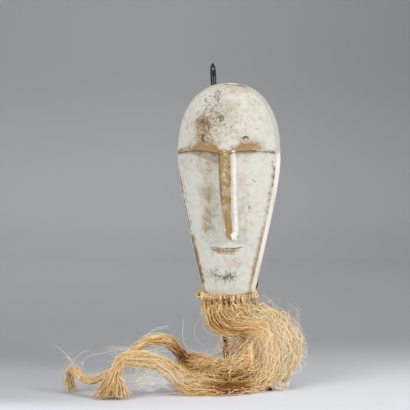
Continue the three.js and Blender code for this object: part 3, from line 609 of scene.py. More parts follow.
def mask_wear(points, on_face, wall):
    """How ochre-stained, bare, dirty, smoked or in painted shadow, and freshly white or in painted highlight
    each point of the mask is
    """
    u, v = points[:, 0], points[:, 1]
    rough, blotchy = field(points, 7, 1), field(points, 24, 2)
    streaky = field(points * np.array([1, 0.3, 1]), 12, 10)
    crumbled = smooth(0.5 + 1.2 * field(points, 2.6, 9))
    broken = smooth(0.55 + 0.9 * rough)
    ragged = u + 2.5 * field(points, 10, 6), v + 2.5 * field(points, 10, 7)
    wear = {}
    for kind in PATCHES:
        patches = [strength * patch(*ragged, *oval) for *oval, strength in PATCHES[kind]]
        strokes = [strength * stroke(u, v, *line) for *line, strength in STROKES[kind]]
        wear[kind] = sum(patches + strokes)
    regions = [nose_and_brow_wear(points, broken), lip_wear(points, crumbled)]
    regions += [rim_wear(u, v), eye_wear(u, v), under_brow_shadow(u, v)]
    for region in regions:
        for kind, amount in region.items():
            wear[kind] += amount
    wear["ochre"] += mix(0.3, 0.62, broken) * patch(*ragged, -31, 247, 16, 12)
    wear["ochre"] += mix(0.45, 0.75, broken) * patch(*ragged, -24, 212, 20, 10)
    wear["bare"] += 0.7 * broken * (stroke(u, v, 65, 192, 67, 158, 2.2) + stroke(u, v, 40, 287, 50, 277, 1.6))
    wear["bare"] += 0.55 * crumbled * stroke(u, v, 2, 295, 16, 295.5, 1.8)
    wear["bare"] += 0.4 * patch(*ragged, 2, 203, 6, 13) * smooth(0.3 - 1.8 * field(points, 2.4, 11))
    wear["grime"] += 0.35 * broken * patch(*ragged, 6, 232, 22, 14)
    wear["chalk_and_highlight"] += 0.35 * patch(*ragged, -30, 240, 15, 15) * smooth(0.5 + rough)
    # Painted highlight: the right wall of the mask, which faces the light, is made paler.
    wear["chalk_and_highlight"] += np.where(wall & (u > 0), 0.75 + 0.25 * streaky, 0) * smooth((225 - v) / 40)
    shown = on_face | (wall & (v > WIDEST_AT))
    inside = ~on_face & ~wall
    stained = shown * (wear["ochre"] + 0.16 * blotchy + 0.14 * streaky)
    bare_wall = np.where(wall, 0.12 * (u < 0) + 0.1 * blotchy, 0)
    bare_inside = np.where(inside, 0.95 + 0.25 * blotchy, 0)
    return {
        "ochre": stained + np.where(inside, 1.0 + 0.3 * streaky, 0) + 0.1 * rough,
        "bare": on_face * wear["bare"] + bare_wall + bare_inside + 0.15 * rough,
        "grime": shown * wear["grime"] + 0.1 * rough,
        "smoke_and_shadow": on_face * wear["smoke_and_shadow"],
        "chalk_and_highlight": np.where(on_face | wall, wear["chalk_and_highlight"], 0),
    }


def make_mask():
    grid, face_columns = mask_points()
    rows, columns = grid.shape[:2]
    points = grid.reshape(-1, 3)

    def at_points(values):
        """Values by row or by column as values at each point"""
        return np.broadcast_to(values, (rows, columns)).ravel()

    place = np.arange(columns)
    on_right_wall = (place >= face_columns) & (place < face_columns + WALL_RINGS)
    on_face = at_points(place < face_columns)
    fields = mask_wear(points, on_face, at_points(on_right_wall | (place >= columns - WALL_RINGS)))
    carved = 0.42 * field(points, 13, 3, 2) + 0.16 * field(points, 4, 4, 2)
    toolmarks = 0.25 * np.abs(field(points * np.array([1, 0.35, 1]), 7, 5, 1))
    middle = np.array([0, WIDEST_AT * 0.75, 10])
    outward = points - middle
    outward /= np.linalg.norm(outward, axis=1)[:, None]
    row_from_end = np.minimum(np.arange(rows), np.arange(rows)[::-1])[:, None]
    calm_ends = at_points(smooth(row_from_end / 6))
    calm_rim = smooth(np.abs(points[:, 2]) / 1.5)
    direction = np.where(on_face[:, None], np.array([0, 0, 1.0]), outward)
    points = points + direction * ((carved - toolmarks) * calm_ends * calm_rim)[:, None]
    placed = np.stack([points[:, 0], RIM_PLANE - points[:, 2], CHIN_HEIGHT + points[:, 1]], axis=1)
    mesh = new_mesh("mask_carved", placed, loop_faces(rows, columns).tolist(), fields)
    welded = bmesh.new()
    welded.from_mesh(mesh)
    bmesh.ops.remove_doubles(welded, verts=welded.verts, dist=2e-6)
    bmesh.ops.recalc_face_normals(welded, faces=welded.faces)
    welded.to_mesh(mesh)
    welded.free()
    add_piece("mask_carved", mesh, whitened_wood(), ["mask"])


# Strands of the beard

TUBE_SIDES = 3
FLOOR_GAP, FOOT_GAP = 0.15, 0.4
CORNER_CLEARANCE, CORNER_SLANT = 9.5, 0.11
KNOTS = [f"tuft_knot_{number:02d}" for number in range(1, 12)]
KNOT_CENTRES = np.array([(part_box(name)[0][0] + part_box(name)[1][0]) / 2 / METRES for name in KNOTS])
TUFT_TOP, TUFT_PULL = 105, 0.4
SWAY_STEPS, WISP_STEPS = 64, 28
LOOSE_SHARE, LOOSE_RADIUS, LOOSE_FRIZZ, LOOSE_LIFT = 0.08, 0.26, 1.7, 0.2
THINNEST, FUZZ_TONE = 0.22, 0.85
RISE_INTO_KNOTS = 5


def curve_through(gates, share):
    """Points and headings at shares (any shape) of the way along a smooth curve through the gates"""
    gates = np.array(gates, float)
    hops = np.linalg.norm(np.diff(gates[:, :3] + gates[:, 3:], axis=0), axis=1)
    length = np.concatenate([[0], np.cumsum(hops)])
    knots = length / length[-1]
    slopes = np.gradient(gates, knots, axis=0)
    low = np.clip(np.searchsorted(knots, share, side="right") - 1, 0, len(knots) - 2)
    span = (knots[low + 1] - knots[low])[..., None]
    s = ((share - knots[low]) / span[..., 0])[..., None]
    a, b = gates[low], gates[low + 1]
    slope_a, slope_b = slopes[low] * span, slopes[low + 1] * span
    place = (2 * s**3 - 3 * s**2 + 1) * a + (s**3 - 2 * s**2 + s) * slope_a
    place = place + (3 * s**2 - 2 * s**3) * b + (s**3 - s**2) * slope_b
    heading = (6 * s**2 - 6 * s) * (a - b) + (3 * s**2 - 4 * s + 1) * slope_a + (3 * s**2 - 2 * s) * slope_b
    return place, heading


def unit(vectors):
    return vectors / np.maximum(np.linalg.norm(vectors, axis=-1, keepdims=True), 1e-9)


def waver(rng, count, steps, bends, size):
    """Smooth random sideways moves along each of count strands"""
    turns = rng.normal(0, 1, (count, bends, 3))
    place = np.linspace(0, bends - 1.001, steps)
    low = place.astype(int)
    share = smooth(place - low)[None, :, None]
    return size * mix(turns[:, low], turns[:, np.minimum(low + 1, bends - 1)], share)


def tapered(steps, first, last, slope):
    """Thickness along a strand: full in the middle, and the shares first and last at its ends"""
    return np.minimum(1, np.minimum(np.linspace(first, slope, steps), np.linspace(slope, last, steps)))


def tubes(paths, radii):
    """Thin closed tubes along paths of shape (strands, steps, 3)"""
    count, steps = paths.shape[:2]
    heading = unit(np.gradient(paths, axis=1))
    normal = np.zeros_like(paths)
    normal[:, 0] = unit(np.cross(heading[:, 0], [0.31, 0.87, 0.38]))
    for i in range(1, steps):
        along = np.sum(normal[:, i - 1] * heading[:, i], axis=1)[:, None]
        normal[:, i] = unit(normal[:, i - 1] - heading[:, i] * along)
    binormal = np.cross(heading, normal)
    sides = np.arange(TUBE_SIDES)
    angle = 2 * np.pi * sides / TUBE_SIDES
    ring = normal[:, :, None] * np.cos(angle)[:, None] + binormal[:, :, None] * np.sin(angle)[:, None]
    points = (paths[:, :, None] + ring * radii[:, :, None, None]).reshape(-1, 3)
    strand, step, side = np.meshgrid(np.arange(count), np.arange(steps - 1), sides, indexing="ij")
    base = (strand * steps + step) * TUBE_SIDES
    here, beside = base + side, base + (side + 1) % TUBE_SIDES
    quads = np.stack([here, beside, beside + TUBE_SIDES, here + TUBE_SIDES], axis=-1).reshape(-1, 4)
    first = (np.arange(count) * steps * TUBE_SIDES)[:, None]
    last = first + (steps - 1) * TUBE_SIDES
    caps = np.concatenate([first + sides[::-1], last + sides])
    return points, quads.tolist() + caps.tolist()


def settled(paths, radii):
    """Strands rest on the floor and the foot plate, and part over its right front corner, which peeps out"""
    x, y = paths[..., 0], paths[..., 1]
    over_foot = np.all((paths[..., :2] > foot_low[:2] - 1) & (paths[..., :2] < foot_high[:2] + 1), axis=-1)
    past_corner = x - foot_high[0] + CORNER_SLANT * (y - foot_low[1])
    parted = smooth((past_corner + 12) / 8) * smooth((4 - past_corner) / 3) * (y < foot_low[1] + 1)
    resting = np.where(over_foot, foot_high[2] + FOOT_GAP, FLOOR_GAP)
    floor = np.maximum(resting, CORNER_CLEARANCE * parted) + radii
    paths[..., 2] = np.maximum(paths[..., 2], floor)
    return paths


def place_tone(points):
    """The beard is bleached on the outside of its bulge and stained red-brown at the foot of the pile;
    painted shade darkens it in a patch below the knots, behind and just under them, and in the slots between
    them
    """
    x, y, z = points.T
    behind = smooth((y + 15) / 8) * smooth((x - 25) / 25)
    bleached = patch(x, z, 84, 58, 36, 44) * (1 - behind)
    stained = patch(x, z, 12, 12, 36, 15) * smooth((-45 - y) / 10)
    stained += 0.8 * patch(x, z, -52, 54, 13, 18) * smooth((y + 80) / 8)
    # Painted shade: a patch below the knots and a band behind and under them.
    shaded = patch(x, z, -4, 92, 30, 20) + 2 * bump_at(z - 111, 5) * smooth((y + 7) / 5)
    # Painted shade in the slots between the hanging tufts, and just under the knots.
    from_knot = np.abs(x[:, None] - KNOT_CENTRES).min(axis=1)
    hanging = smooth((x + 27) / 8) * (x < 40) * smooth((y + 12) / 4)
    slot_shade = hanging * (smooth((from_knot - 1.9) / 1.2) * bump_at(z - 116, 7) + 0.25 * bump_at(z - 113, 3.5))
    crest = patch(x, z, -92, 82, 22, 9)
    fan = patch(x, z, -142, 0, 34, 26) * smooth((-118 - y) / 12)
    paler = 0.34 * bleached + 0.25 * crest
    return paler - 0.55 * stained - 0.22 * shaded - 0.16 * fan - 1.15 * slot_shade - 0.3 * behind


def strand_piece(name, material, slot, replaced, *bundles):
    """One piece from bundles of (paths, radii, tone of each strand)"""
    points, faces, tones = [], [], []
    start = 0
    for paths, radii, tone in bundles:
        made, made_faces = tubes(settled(paths, radii), radii)
        points.append(made)
        faces += [[index + start for index in face] for face in made_faces]
        tones.append(np.repeat(tone, paths.shape[1] * TUBE_SIDES) + place_tone(made))
        start += len(made)
    mesh = new_mesh(name, np.concatenate(points), faces, {"tone": np.concatenate(tones)})
    add_piece(name, mesh, material, replaced)


def gathered(paths):
    """Strands draw together into their tuft as they come up to its knot"""
    x, z = paths[..., 0], paths[..., 2]
    hanging = KNOT_CENTRES[1:]
    nearest = hanging[np.abs(x[..., None] - hanging).argmin(axis=-1)]
    paths[..., 0] = mix(x, nearest, TUFT_PULL * smooth((z - TUFT_TOP) / 9))
    return paths


def sheet_axes(gates, share):
    """Middle, sideways and facing directions and half width of a sheet at shares of its length"""
    place, heading = curve_through(gates, share)
    across = (place[..., 3:] - place[..., :3]) / 2
    facing = unit(np.cross(heading[..., :3] + heading[..., 3:], across))
    width = np.maximum(np.linalg.norm(across, axis=-1), 4)[..., None]
    return (place[..., :3] + place[..., 3:]) / 2, unit(across), facing, width


def hank(gates, seed, clumps, strands=6, steps=20, plump=0.45, run=0.4, sway=0.2, drift=0.3, frizz=0.8,
         tone=0.6, core=0.3, thick=0.52, vary=1.0):
    """Strands in clumps that follow a sheet, each over a stretch of its length, crossing one another"""
    rng = np.random.default_rng(seed)
    count = clumps * strands
    clump = np.repeat(np.arange(clumps), strands)
    start = np.clip(rng.uniform(-0.4 * run, 1 - 0.7 * run, count), 0, 1)
    end = np.clip(start + run * rng.uniform(0.6, 1.2, count), 0.12, 1)
    along = np.linspace(0, 1, steps)[None, :]
    share = mix(start[:, None], end[:, None], along)
    middle, sideways, facing, width = sheet_axes(gates, share)
    spread = rng.uniform(core, 1, clumps) ** 0.6
    turn = rng.uniform(0, 2 * np.pi, clumps)
    clump_sway = waver(rng, clumps, SWAY_STEPS, 8, sway)
    at = np.clip((share * (SWAY_STEPS - 1)).astype(int), 0, SWAY_STEPS - 1)
    radial = np.sqrt(rng.uniform(0, 1, count))[:, None]
    twist = rng.uniform(0, 2 * np.pi, count)[:, None] + share * rng.uniform(-7, 7, clumps)[clump][:, None]
    crossing = rng.normal(0, drift, (count, 2))[:, None, :] * (along - 0.5)[..., None]
    swayed = clump_sway[clump[:, None], at]
    clump_a, clump_b = spread * np.cos(turn), spread * np.sin(turn)
    a = clump_a[clump][:, None] + swayed[..., 0] + crossing[..., 0] + 0.2 * radial * np.cos(twist)
    b = clump_b[clump][:, None] + swayed[..., 1] + crossing[..., 1] + 0.25 * radial * np.sin(twist)
    reach = np.maximum(np.hypot(a, b), 1e-6)
    held = np.minimum(reach, 1.0 + 0.25 * np.tanh(np.maximum(reach - 1, 0))) / reach
    paths = middle + (a * held)[..., None] * sideways * width + (b * held)[..., None] * facing * width * plump
    loose = rng.uniform(0, 1, count) < LOOSE_SHARE
    size = frizz * np.minimum(np.exp(rng.normal(0, 0.5, count)), 2) * np.where(loose, LOOSE_FRIZZ, 1)
    frizzed = waver(rng, count, steps, 6, 1.4) + waver(rng, count, steps, steps // 2, 0.7)
    stout = rng.uniform(0, 1, count) ** 2
    radii = tapered(steps, 0.3, 0.3, 9) * np.where(loose, LOOSE_RADIUS, mix(THINNEST, thick, stout))[:, None]
    shade = 0.35 * (np.median(reach, axis=1) - 0.8) + 0.3 * (stout - 0.35)
    shade = shade + rng.normal(0, 0.1, clumps)[clump] + rng.normal(0, 0.2, count) + LOOSE_LIFT * loose
    return gathered(paths + frizzed * size[:, None, None]), radii, tone + vary * shade


def straying(gates, seed, count, plump=0.5, tone=1.1):
    """Stout pale strands that wander over the outside of a sheet"""
    manner = {"run": 0.24, "sway": 0, "drift": 0.6, "frizz": 1.6, "core": 0.92, "thick": 0.44}
    return hank(gates, seed, count, 1, 16, plump, tone=tone, **manner)


def heart(gates, seed, count, steps=16, plump=0.45, radius=2.2, tone=0.5):
    """Thick dark strands inside a sheet, so that no light comes through it"""
    rng = np.random.default_rng(seed)
    share = np.broadcast_to(np.linspace(0.01, 0.98, steps), (count, steps))
    middle, sideways, facing, width = sheet_axes(gates, share)
    spread = 0.78 * np.sqrt(rng.uniform(0, 1, count))
    turn = rng.uniform(0, 2 * np.pi, count)
    a = (spread * np.cos(turn))[:, None, None]
    b = (spread * np.sin(turn))[:, None, None]
    paths = middle + a * sideways * width + b * facing * width * plump * 0.8
    paths = gathered(paths + waver(rng, count, steps, 6, 0.8))
    radii = tapered(steps, 0.5, 0.4, 8) * rng.uniform(0.6, 1, count)[:, None] * radius
    return paths, radii, tone + rng.normal(0, 0.1, count)


def curled(rng, places, headings, length, turning, steps=9):
    """Hairs that start at places along headings and curl as they go"""
    count = len(places)
    step = length[:, None] / (steps - 1)
    spin = unit(rng.normal(0, 1, (count, 3)))
    bend = rng.normal(0, turning, count)[:, None]
    paths = [places]
    heading = unit(headings)
    for _ in range(steps - 1):
        heading = unit(heading + bend * np.cross(spin, heading) + rng.normal(0, 0.16, (count, 3)))
        paths.append(paths[-1] + heading * step)
    return np.stack(paths, axis=1)


def fuzz(gates, seed, count, length=9, plump=0.45, stretch=(0, 1)):
    """Fine short hairs that stand off the surface of a sheet"""
    rng = np.random.default_rng(seed)
    share = rng.uniform(*stretch, count)
    middle, sideways, facing, width = sheet_axes(gates, share)
    turn = rng.uniform(0, 2 * np.pi, count)[:, None]
    outward = np.cos(turn) * sideways + np.sin(turn) * facing
    places = middle + width * (np.cos(turn) * sideways + plump * np.sin(turn) * facing) * 0.92
    _, heading = curve_through(gates, share)
    along = unit(heading[..., :3] + heading[..., 3:]) * rng.choice([-1, 1], (count, 1))
    paths = curled(rng, places, outward * 0.6 + along, length * rng.uniform(0.4, 1.4, count), 0.14)
    radii = np.linspace(0.2, 0.08, paths.shape[1])[None, :] * rng.uniform(0.7, 1.2, count)[:, None]
    return paths, radii, FUZZ_TONE + rng.normal(0, 0.1, count)


def tangle(middle, reach, seed, count, length, tone, thick=0.35, turning=0.35, steps=10):
    """Loose curly hairs that fill a rounded space"""
    rng = np.random.default_rng(seed)
    inside = unit(rng.normal(0, 1, (count, 3))) * rng.uniform(0, 1, (count, 1)) ** 0.45
    headings = rng.normal(0, 1, (count, 3)) - 0.8 * inside
    lengths = length / np.mean(reach) * rng.uniform(0.6, 1.3, count)
    paths = curled(rng, inside * 0.9, headings, lengths, turning, steps)
    far = np.maximum(np.linalg.norm(paths, axis=-1, keepdims=True), 1)
    paths = paths / far * np.minimum(1.15, far)
    radii = np.linspace(1, 0.5, steps)[None, :] * rng.uniform(0.5, 1, count)[:, None] * thick
    return paths * np.array(reach) + np.array(middle), radii, tone + rng.normal(0, 0.14, count)


def wisps(routes, seed, radius, tone=0.95):
    """Long single hairs, each through its own gates of (x, y, z)"""
    rng = np.random.default_rng(seed)
    paths = []
    for route in routes:
        doubled = [(*gate, *gate) for gate in route]
        paths.append(curve_through(doubled, np.linspace(0, 1, WISP_STEPS)[None, :])[0][0, :, :3])
    paths = np.stack(paths) + waver(rng, len(routes), WISP_STEPS, 9, 0.4)
    radii = np.broadcast_to(radius * tapered(WISP_STEPS, 0.4, 0.3, 6), paths.shape[:2])
    return paths, radii, np.full(len(routes), tone)


def raised(gates):
    """The same gates, starting a little higher, inside the knots"""
    x, y, z, far_x, far_y, far_z = gates[0]
    return [(x, y, z + RISE_INTO_KNOTS, far_x, far_y, far_z + RISE_INTO_KNOTS), *gates]


def flat_route(y, *places):
    """Gates of one hair that keeps its depth y, from its places (x, z)"""
    return [(x, y, z) for x, z in places]


def turned(gates):
    """The same gates with their two edges changed over"""
    return [gate[3:] + gate[:3] for gate in gates]


# The hank runs on from one sheet to the next, so each run below takes in the start of what follows it
SWEEP_RUN = raised(SWEEP_GATES[:9]) + PILE_FRONT_GATES[1:3]
OUTER_RUN = raised(OUTER_GATES) + PILE_FRONT_GATES[1:2]
INNER_RUN = raised(INNER_GATES) + PILE_FRONT_GATES[4:]
PILE_RUN = SWEEP_GATES[7:9] + PILE_FRONT_GATES[1:] + FRONT_TAIL_GATES[1:4]
PILE_BACK_RUN = turned(PILE_BACK_GATES) + BACK_TAIL_GATES[1:4]
FRONT_TAIL_RUN = PILE_FRONT_GATES[2:] + FRONT_TAIL_GATES[1:]
FAN_RUN = FRONT_TAIL_GATES[7:]
BACK_TAIL_RUN = turned(PILE_BACK_GATES[1:]) + BACK_TAIL_GATES[1:] + FRONT_TAIL_GATES[8:]
END_CURL_RUN = [FRONT_TAIL_GATES[6], *END_CURL_GATES]
COLLAR_RUN = [
    (-41, -3, 122, 44, -3, 122), (-40, -6, 112, 46, -6, 113), (-34, -9, 100, 52, -10, 104),
    (-20, -13, 88, 62, -13, 93), (6, -16, 80, 72, -16, 80),
]
BELLY_RUN = [
    (28, -8, 104, 54, -6, 108), (38, -16, 88, 74, -12, 96), (42, -24, 70, 88, -18, 76),
    (40, -30, 52, 96, -20, 54), (38, -38, 34, 90, -26, 32), (34, -48, 18, 74, -38, 14),
    (24, -62, 8, 52, -52, 4),
]
WINDOW_RUN = [
    (-4, -14, 84, 26, -18, 84), (-5, -24, 70, 26, -24, 68), (-7, -38, 54, 22, -34, 52),
    (-12, -50, 38, 16, -44, 36),
]
VALLEY_RUN = [
    (42, -42, 64, 46, -56, 34), (18, -46, 46, 24, -66, 22), (-8, -52, 38, -4, -74, 18),
    (-32, -58, 42, -28, -80, 16), (-50, -62, 46, -46, -84, 18),
]
FLY_AWAYS = [
    flat_route(-14, (85, 93), (105, 77), (112, 65), (113, 56), (112, 48)),
    flat_route(-16, (80, 103), (94, 98), (104, 86), (110, 72)),
    flat_route(-4, (56, 113), (60, 121), (69, 124), (74, 119), (69, 112)),
    flat_route(-8, (86, 100), (89, 108), (97, 110), (99, 101), (92, 97)),
    flat_route(-44, (65, 7), (75, 3), (86, 5)),
    flat_route(-40, (67, 11), (78, 7), (88, 10)),
    flat_route(-20, (-36, 96), (-43, 85), (-42, 68), (-30, 57)),
]
SURFACE_STRANDS = [
    [(42, -54, 67), (40, -56, 54), (42, -58, 41), (40, -60, 19), (41, -62, 2)],
    [(59, -44, 96), (66, -46, 78), (61, -48, 63), (64, -50, 49)],
    [(37, -60, 73), (26, -60, 62), (16, -60, 49), (13, -62, 30)],
    [(-4, -66, 48), (-11, -68, 39), (-16, -74, 26)],
    [(-6, -88, 29), (-4, -90, 19), (-3, -90, 10), (9, -88, 1)],
    [(15, -76, 38), (14, -80, 27), (14, -82, 19), (7, -84, 12)],
    [(-10, -24, 117), (-4, -26, 103), (4, -28, 97), (11, -30, 95)],
    [(10, -28, 94), (16, -28, 101), (24, -26, 108)],
]
FLOOR_HAIRS = [
    [(-84, -96, 1), (-58, -100, 3), (-26, -104, 1), (8, -98, 2)],
    [(-40, -108, 1), (-20, -104, 4), (6, -100, 1), (34, -84, 2)],
    [(-70, -92, 1), (-44, -104, 2), (-14, -108, 1)],
]
TAIL_WISPS = [
    flat_route(-75, (-105, 75), (-89, 87), (-78, 90), (-68, 91)),
    flat_route(-78, (-110, 67), (-97, 80), (-82, 87), (-69, 88)),
    flat_route(-62, (-52, 100), (-53, 72), (-49, 62), (-38, 55), (-25, 52)),
    flat_route(-110, (-198, 36), (-194, 46), (-187, 54), (-177, 59), (-172, 59)),
    flat_route(-112, (-180, 31), (-182, 43), (-170, 53), (-151, 58), (-134, 59)),
    flat_route(-105, (-222, 65), (-212, 58), (-203, 48), (-196, 39)),
]


def make_beard():
    outer, inner = fibre("beard_fibre"), fibre("beard_fibre_shaded", -0.06)
    strand_piece(
        "beard_sweep", outer, "beard_fibre", ["beard_fall"],
        hank(SWEEP_RUN, 1, 122, run=0.42, sway=0.12, drift=0.24, frizz=0.65, tone=0.54, thick=0.46),
        heart(SWEEP_RUN, 2, 56),
        straying(SWEEP_RUN, 41, 90, tone=1.0),
        fuzz(SWEEP_RUN, 3, 160, stretch=(0, 0.7)),
    )
    strand_piece(
        "beard_outer", outer, "beard_fibre", ["beard_fall"],
        hank(OUTER_RUN, 4, 112, run=0.42, drift=0.45, frizz=2.1, tone=0.94, thick=0.44, vary=1.4),
        heart(OUTER_RUN, 5, 60, tone=0.2),
        straying(OUTER_RUN, 42, 110),
        fuzz(OUTER_RUN, 6, 460, 8),
    )
    strand_piece(
        "beard_belly", outer, "beard_fibre", ["beard_fall"],
        hank(BELLY_RUN, 32, 130, plump=0.35, run=0.42, frizz=2.0, tone=0.9, drift=0.6, thick=0.46, vary=1.35),
        heart(BELLY_RUN, 33, 40, plump=0.25, tone=0.2),
        wisps(SURFACE_STRANDS, 34, 0.42),
        straying(BELLY_RUN, 43, 100, plump=0.4),
        fuzz(BELLY_RUN, 49, 160, plump=0.35),
    )
    strand_piece(
        "beard_inner", inner, "beard_fibre", ["beard_fall"],
        hank(INNER_RUN, 7, 80, frizz=1.3),
        heart(INNER_RUN, 8, 40),
        fuzz(INNER_RUN, 9, 140),
        straying(INNER_RUN, 44, 60),
    )
    strand_piece(
        "beard_collar", outer, "beard_fibre", ["beard_fall"],
        hank(COLLAR_RUN, 10, 70, steps=14, plump=0.16, run=0.7, sway=0.1, drift=0.15, tone=0.64),
        heart(COLLAR_RUN, 11, 50, 10, plump=0.14),
        tangle((0, -12.5, 128.2), (42, 2.2, 3.6), 54, 80, 6, thick=0.22, tone=0.8, turning=0.7, steps=7),
    )
    strand_piece(
        "beard_pile", inner, "beard_fibre", ["beard_fall"],
        hank(PILE_RUN, 12, 84, frizz=1.1, tone=0.5),
        heart(PILE_RUN, 13, 36),
        hank(PILE_BACK_RUN, 14, 52, frizz=1.1, tone=0.5),
        heart(PILE_BACK_RUN, 15, 30),
        hank(VALLEY_RUN, 37, 62, steps=16, plump=0.5, run=0.5, sway=0.35, drift=0.7, frizz=1.4, tone=0.62),
        heart(VALLEY_RUN, 38, 24, 10, plump=0.3),
        hank(
            WINDOW_RUN, 47, 12, 3, 12, plump=0.35, run=0.8, sway=0.5, drift=1.1, frizz=2.6, tone=0.34,
            thick=0.3, vary=1.5,
        ),
        tangle((2, -34, 58), (24, 12, 20), 16, 44, 34, tone=0.7, thick=0.16, turning=0.3),
        straying(PILE_RUN, 45, 60, tone=0.95),
        wisps(FLOOR_HAIRS, 46, 0.3, 0.8),
        tangle((-33, -62, 37), (28, 18, 14), 17, 170, 50, tone=0.55, steps=11),
    )
    strand_piece(
        "beard_tail_front_strands", outer, "beard_fibre", ["beard_tail_front"],
        hank(
            FAN_RUN, 48, 104, 3, 12, plump=0.4, run=1.4, sway=0.25, drift=0.4, frizz=0.9, tone=0.6, core=0.1,
            thick=0.27,
        ),
        fuzz(FAN_RUN, 55, 130, 12, plump=0.4),
        hank(
            FRONT_TAIL_RUN, 18, 64, 8, plump=0.6, run=0.5, sway=0.18, drift=0.34, frizz=0.7, tone=0.73,
            vary=0.95,
        ),
        heart(FRONT_TAIL_RUN, 19, 30, radius=1.5, plump=0.6, tone=0.45),
        fuzz(FRONT_TAIL_RUN, 20, 240, 10),
        straying(FRONT_TAIL_RUN, 50, 40, plump=0.6, tone=0.95),
    )
    strand_piece(
        "beard_tail_back_strands", outer, "beard_fibre", ["beard_tail_back"],
        hank(BACK_TAIL_RUN, 22, 36, 8, plump=0.6, run=0.55, sway=0.16, drift=0.35, frizz=0.75, tone=0.42),
        heart(BACK_TAIL_RUN, 23, 14, radius=1.3, plump=0.5, tone=0.35),
        fuzz(BACK_TAIL_RUN, 24, 120, 11),
    )
    strand_piece(
        "beard_tail_end_strands", outer, "beard_fibre", ["beard_tail_end"],
        hank(END_CURL_RUN, 25, 32, steps=22, plump=0.9, run=0.6, sway=0.3, frizz=0.6, tone=0.64),
        heart(END_CURL_RUN, 26, 5, radius=1.1),
        fuzz(END_CURL_RUN, 27, 80, 13),
    )
    strand_piece(
        "beard_wisps", fibre("wisp_fibre", 0.0, WISP), "beard_fibre", ["beard_tail_front"],
        tangle((-96, -112, 23), (46, 16, 21), 21, 260, 40, thick=0.15, tone=1.2),
        tangle((-104, -112, 62), (44, 12, 9), 51, 50, 44, thick=0.12, tone=1.1, turning=0.2),
        tangle((92, -14, 66), (23, 8, 46), 52, 60, 34, thick=0.13, tone=1.1, turning=0.25),
        tangle((48, -6, 112), (26, 6, 11), 53, 26, 26, thick=0.13, tone=1.1, turning=0.3),
        tangle((-198, -104, 38), (16, 8, 15), 56, 40, 24, thick=0.12, tone=1.1, turning=0.25),
        tangle((76, -46, 7), (15, 8, 8), 57, 70, 18, thick=0.12, tone=1.2, turning=0.3),
        wisps(TAIL_WISPS, 36, 0.2, 1.2),
        wisps(FLY_AWAYS, 31, 0.14, 1.2),
    )


KNOT_TURNS, CROSSED_SHARE = 1.15, 0.42
KNOT_FORWARD, KNOT_RISE = 3.2, 3.1
KNOT_WIDE, KNOT_DEEP, KNOT_TALL = 0.86, 1.5, 1.14
KNOT_HAIR_RADIUS = 0.14
KNOT_TONE, KNOT_TONE_SPREAD = 0.62, 0.36
END_TONES = {KNOTS[0]: 0.36, KNOTS[-1]: 0.8}


def make_knots():
    """Fibre looped over the heading cord, one lumpy knot to a tuft"""
    material = fibre("knot_fibre", 0.1, KNOT_PALEST)
    rng = np.random.default_rng(30)
    loops, steps = 28, 14
    hairs, hair_steps = 16, 7
    for name in KNOTS:
        low, high = (np.array(corner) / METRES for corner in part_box(name))
        centre, half = (low + high) / 2, (high - low) / 2
        start = rng.uniform(0, 2 * np.pi, loops)[:, None]
        angle = np.linspace(0, 2 * np.pi * KNOT_TURNS, steps)[None, :] + start
        across = rng.uniform(-1, 1, loops)[:, None]
        reach = (0.5 + 0.62 * np.sqrt(1 - across**2)) * rng.uniform(0.35, 1.2, loops)[:, None]
        tilt = rng.normal(0, 0.6, (loops, 1))
        lump = rng.normal(0, 0.5, 3)
        crossed = rng.uniform(0, 1, (loops, 1)) < CROSSED_SHARE
        sideways = np.where(crossed, 0.8 * reach * np.sin(angle), across + tilt * np.cos(angle))
        upward = np.where(crossed, across, reach * np.sin(angle))
        x = centre[0] + lump[0] + half[0] * KNOT_WIDE * sideways
        y = centre[1] - KNOT_FORWARD + lump[1] + half[1] * KNOT_DEEP * reach * np.cos(angle)
        z = centre[2] + KNOT_RISE + lump[2] + half[2] * KNOT_TALL * upward
        paths = np.stack([x, y, z], axis=-1) + waver(rng, loops, steps, 7, 0.35)
        radii = np.broadcast_to(rng.uniform(0.3, 0.65, loops)[:, None], (loops, steps))
        looped = (paths, radii, rng.normal(END_TONES.get(name, KNOT_TONE), KNOT_TONE_SPREAD, loops))
        places = centre - (0, 1, 1) + half * unit(rng.normal(0, 1, (hairs, 3)))
        headings = places - centre + rng.normal(0, 2, (hairs, 3))
        strays = curled(rng, places, headings, rng.uniform(3, 8, hairs), 0.25, hair_steps)
        stray_radii = np.full((hairs, hair_steps), KNOT_HAIR_RADIUS)
        standing = (strays, stray_radii, rng.normal(0.8, 0.15, hairs))
        strand_piece(name.replace("tuft_", ""), material, "knot_fibre", [name], looped, standing)


# Setting: a pale sweep, soft light and the camera, in metres

LIGHT_TARGET = (0, 0, 0.22)
LIGHTS = {
    "key": ((1.75, -1.05, 1.05), 0.9, 28, (1, 0.99, 0.975)),
    "fill": ((-1.2, -2.1, 1.0), 1.8, 37, (1, 0.995, 0.98)),
    "top": ((0.1, 0.0, 2.2), 1.4, 8, (1, 1, 1)),
}
WORLD_COLOUR, WORLD_STRENGTH = (0.97, 0.98, 1, 1), 0.43
CAMERA_PLACE = (0.27835, -1.9805, 0.32)
CAMERA_HEADING, CAMERA_PITCH = 8.91, -1.904
CAMERA_LENS, CAMERA_SENSOR = 125.2, 36


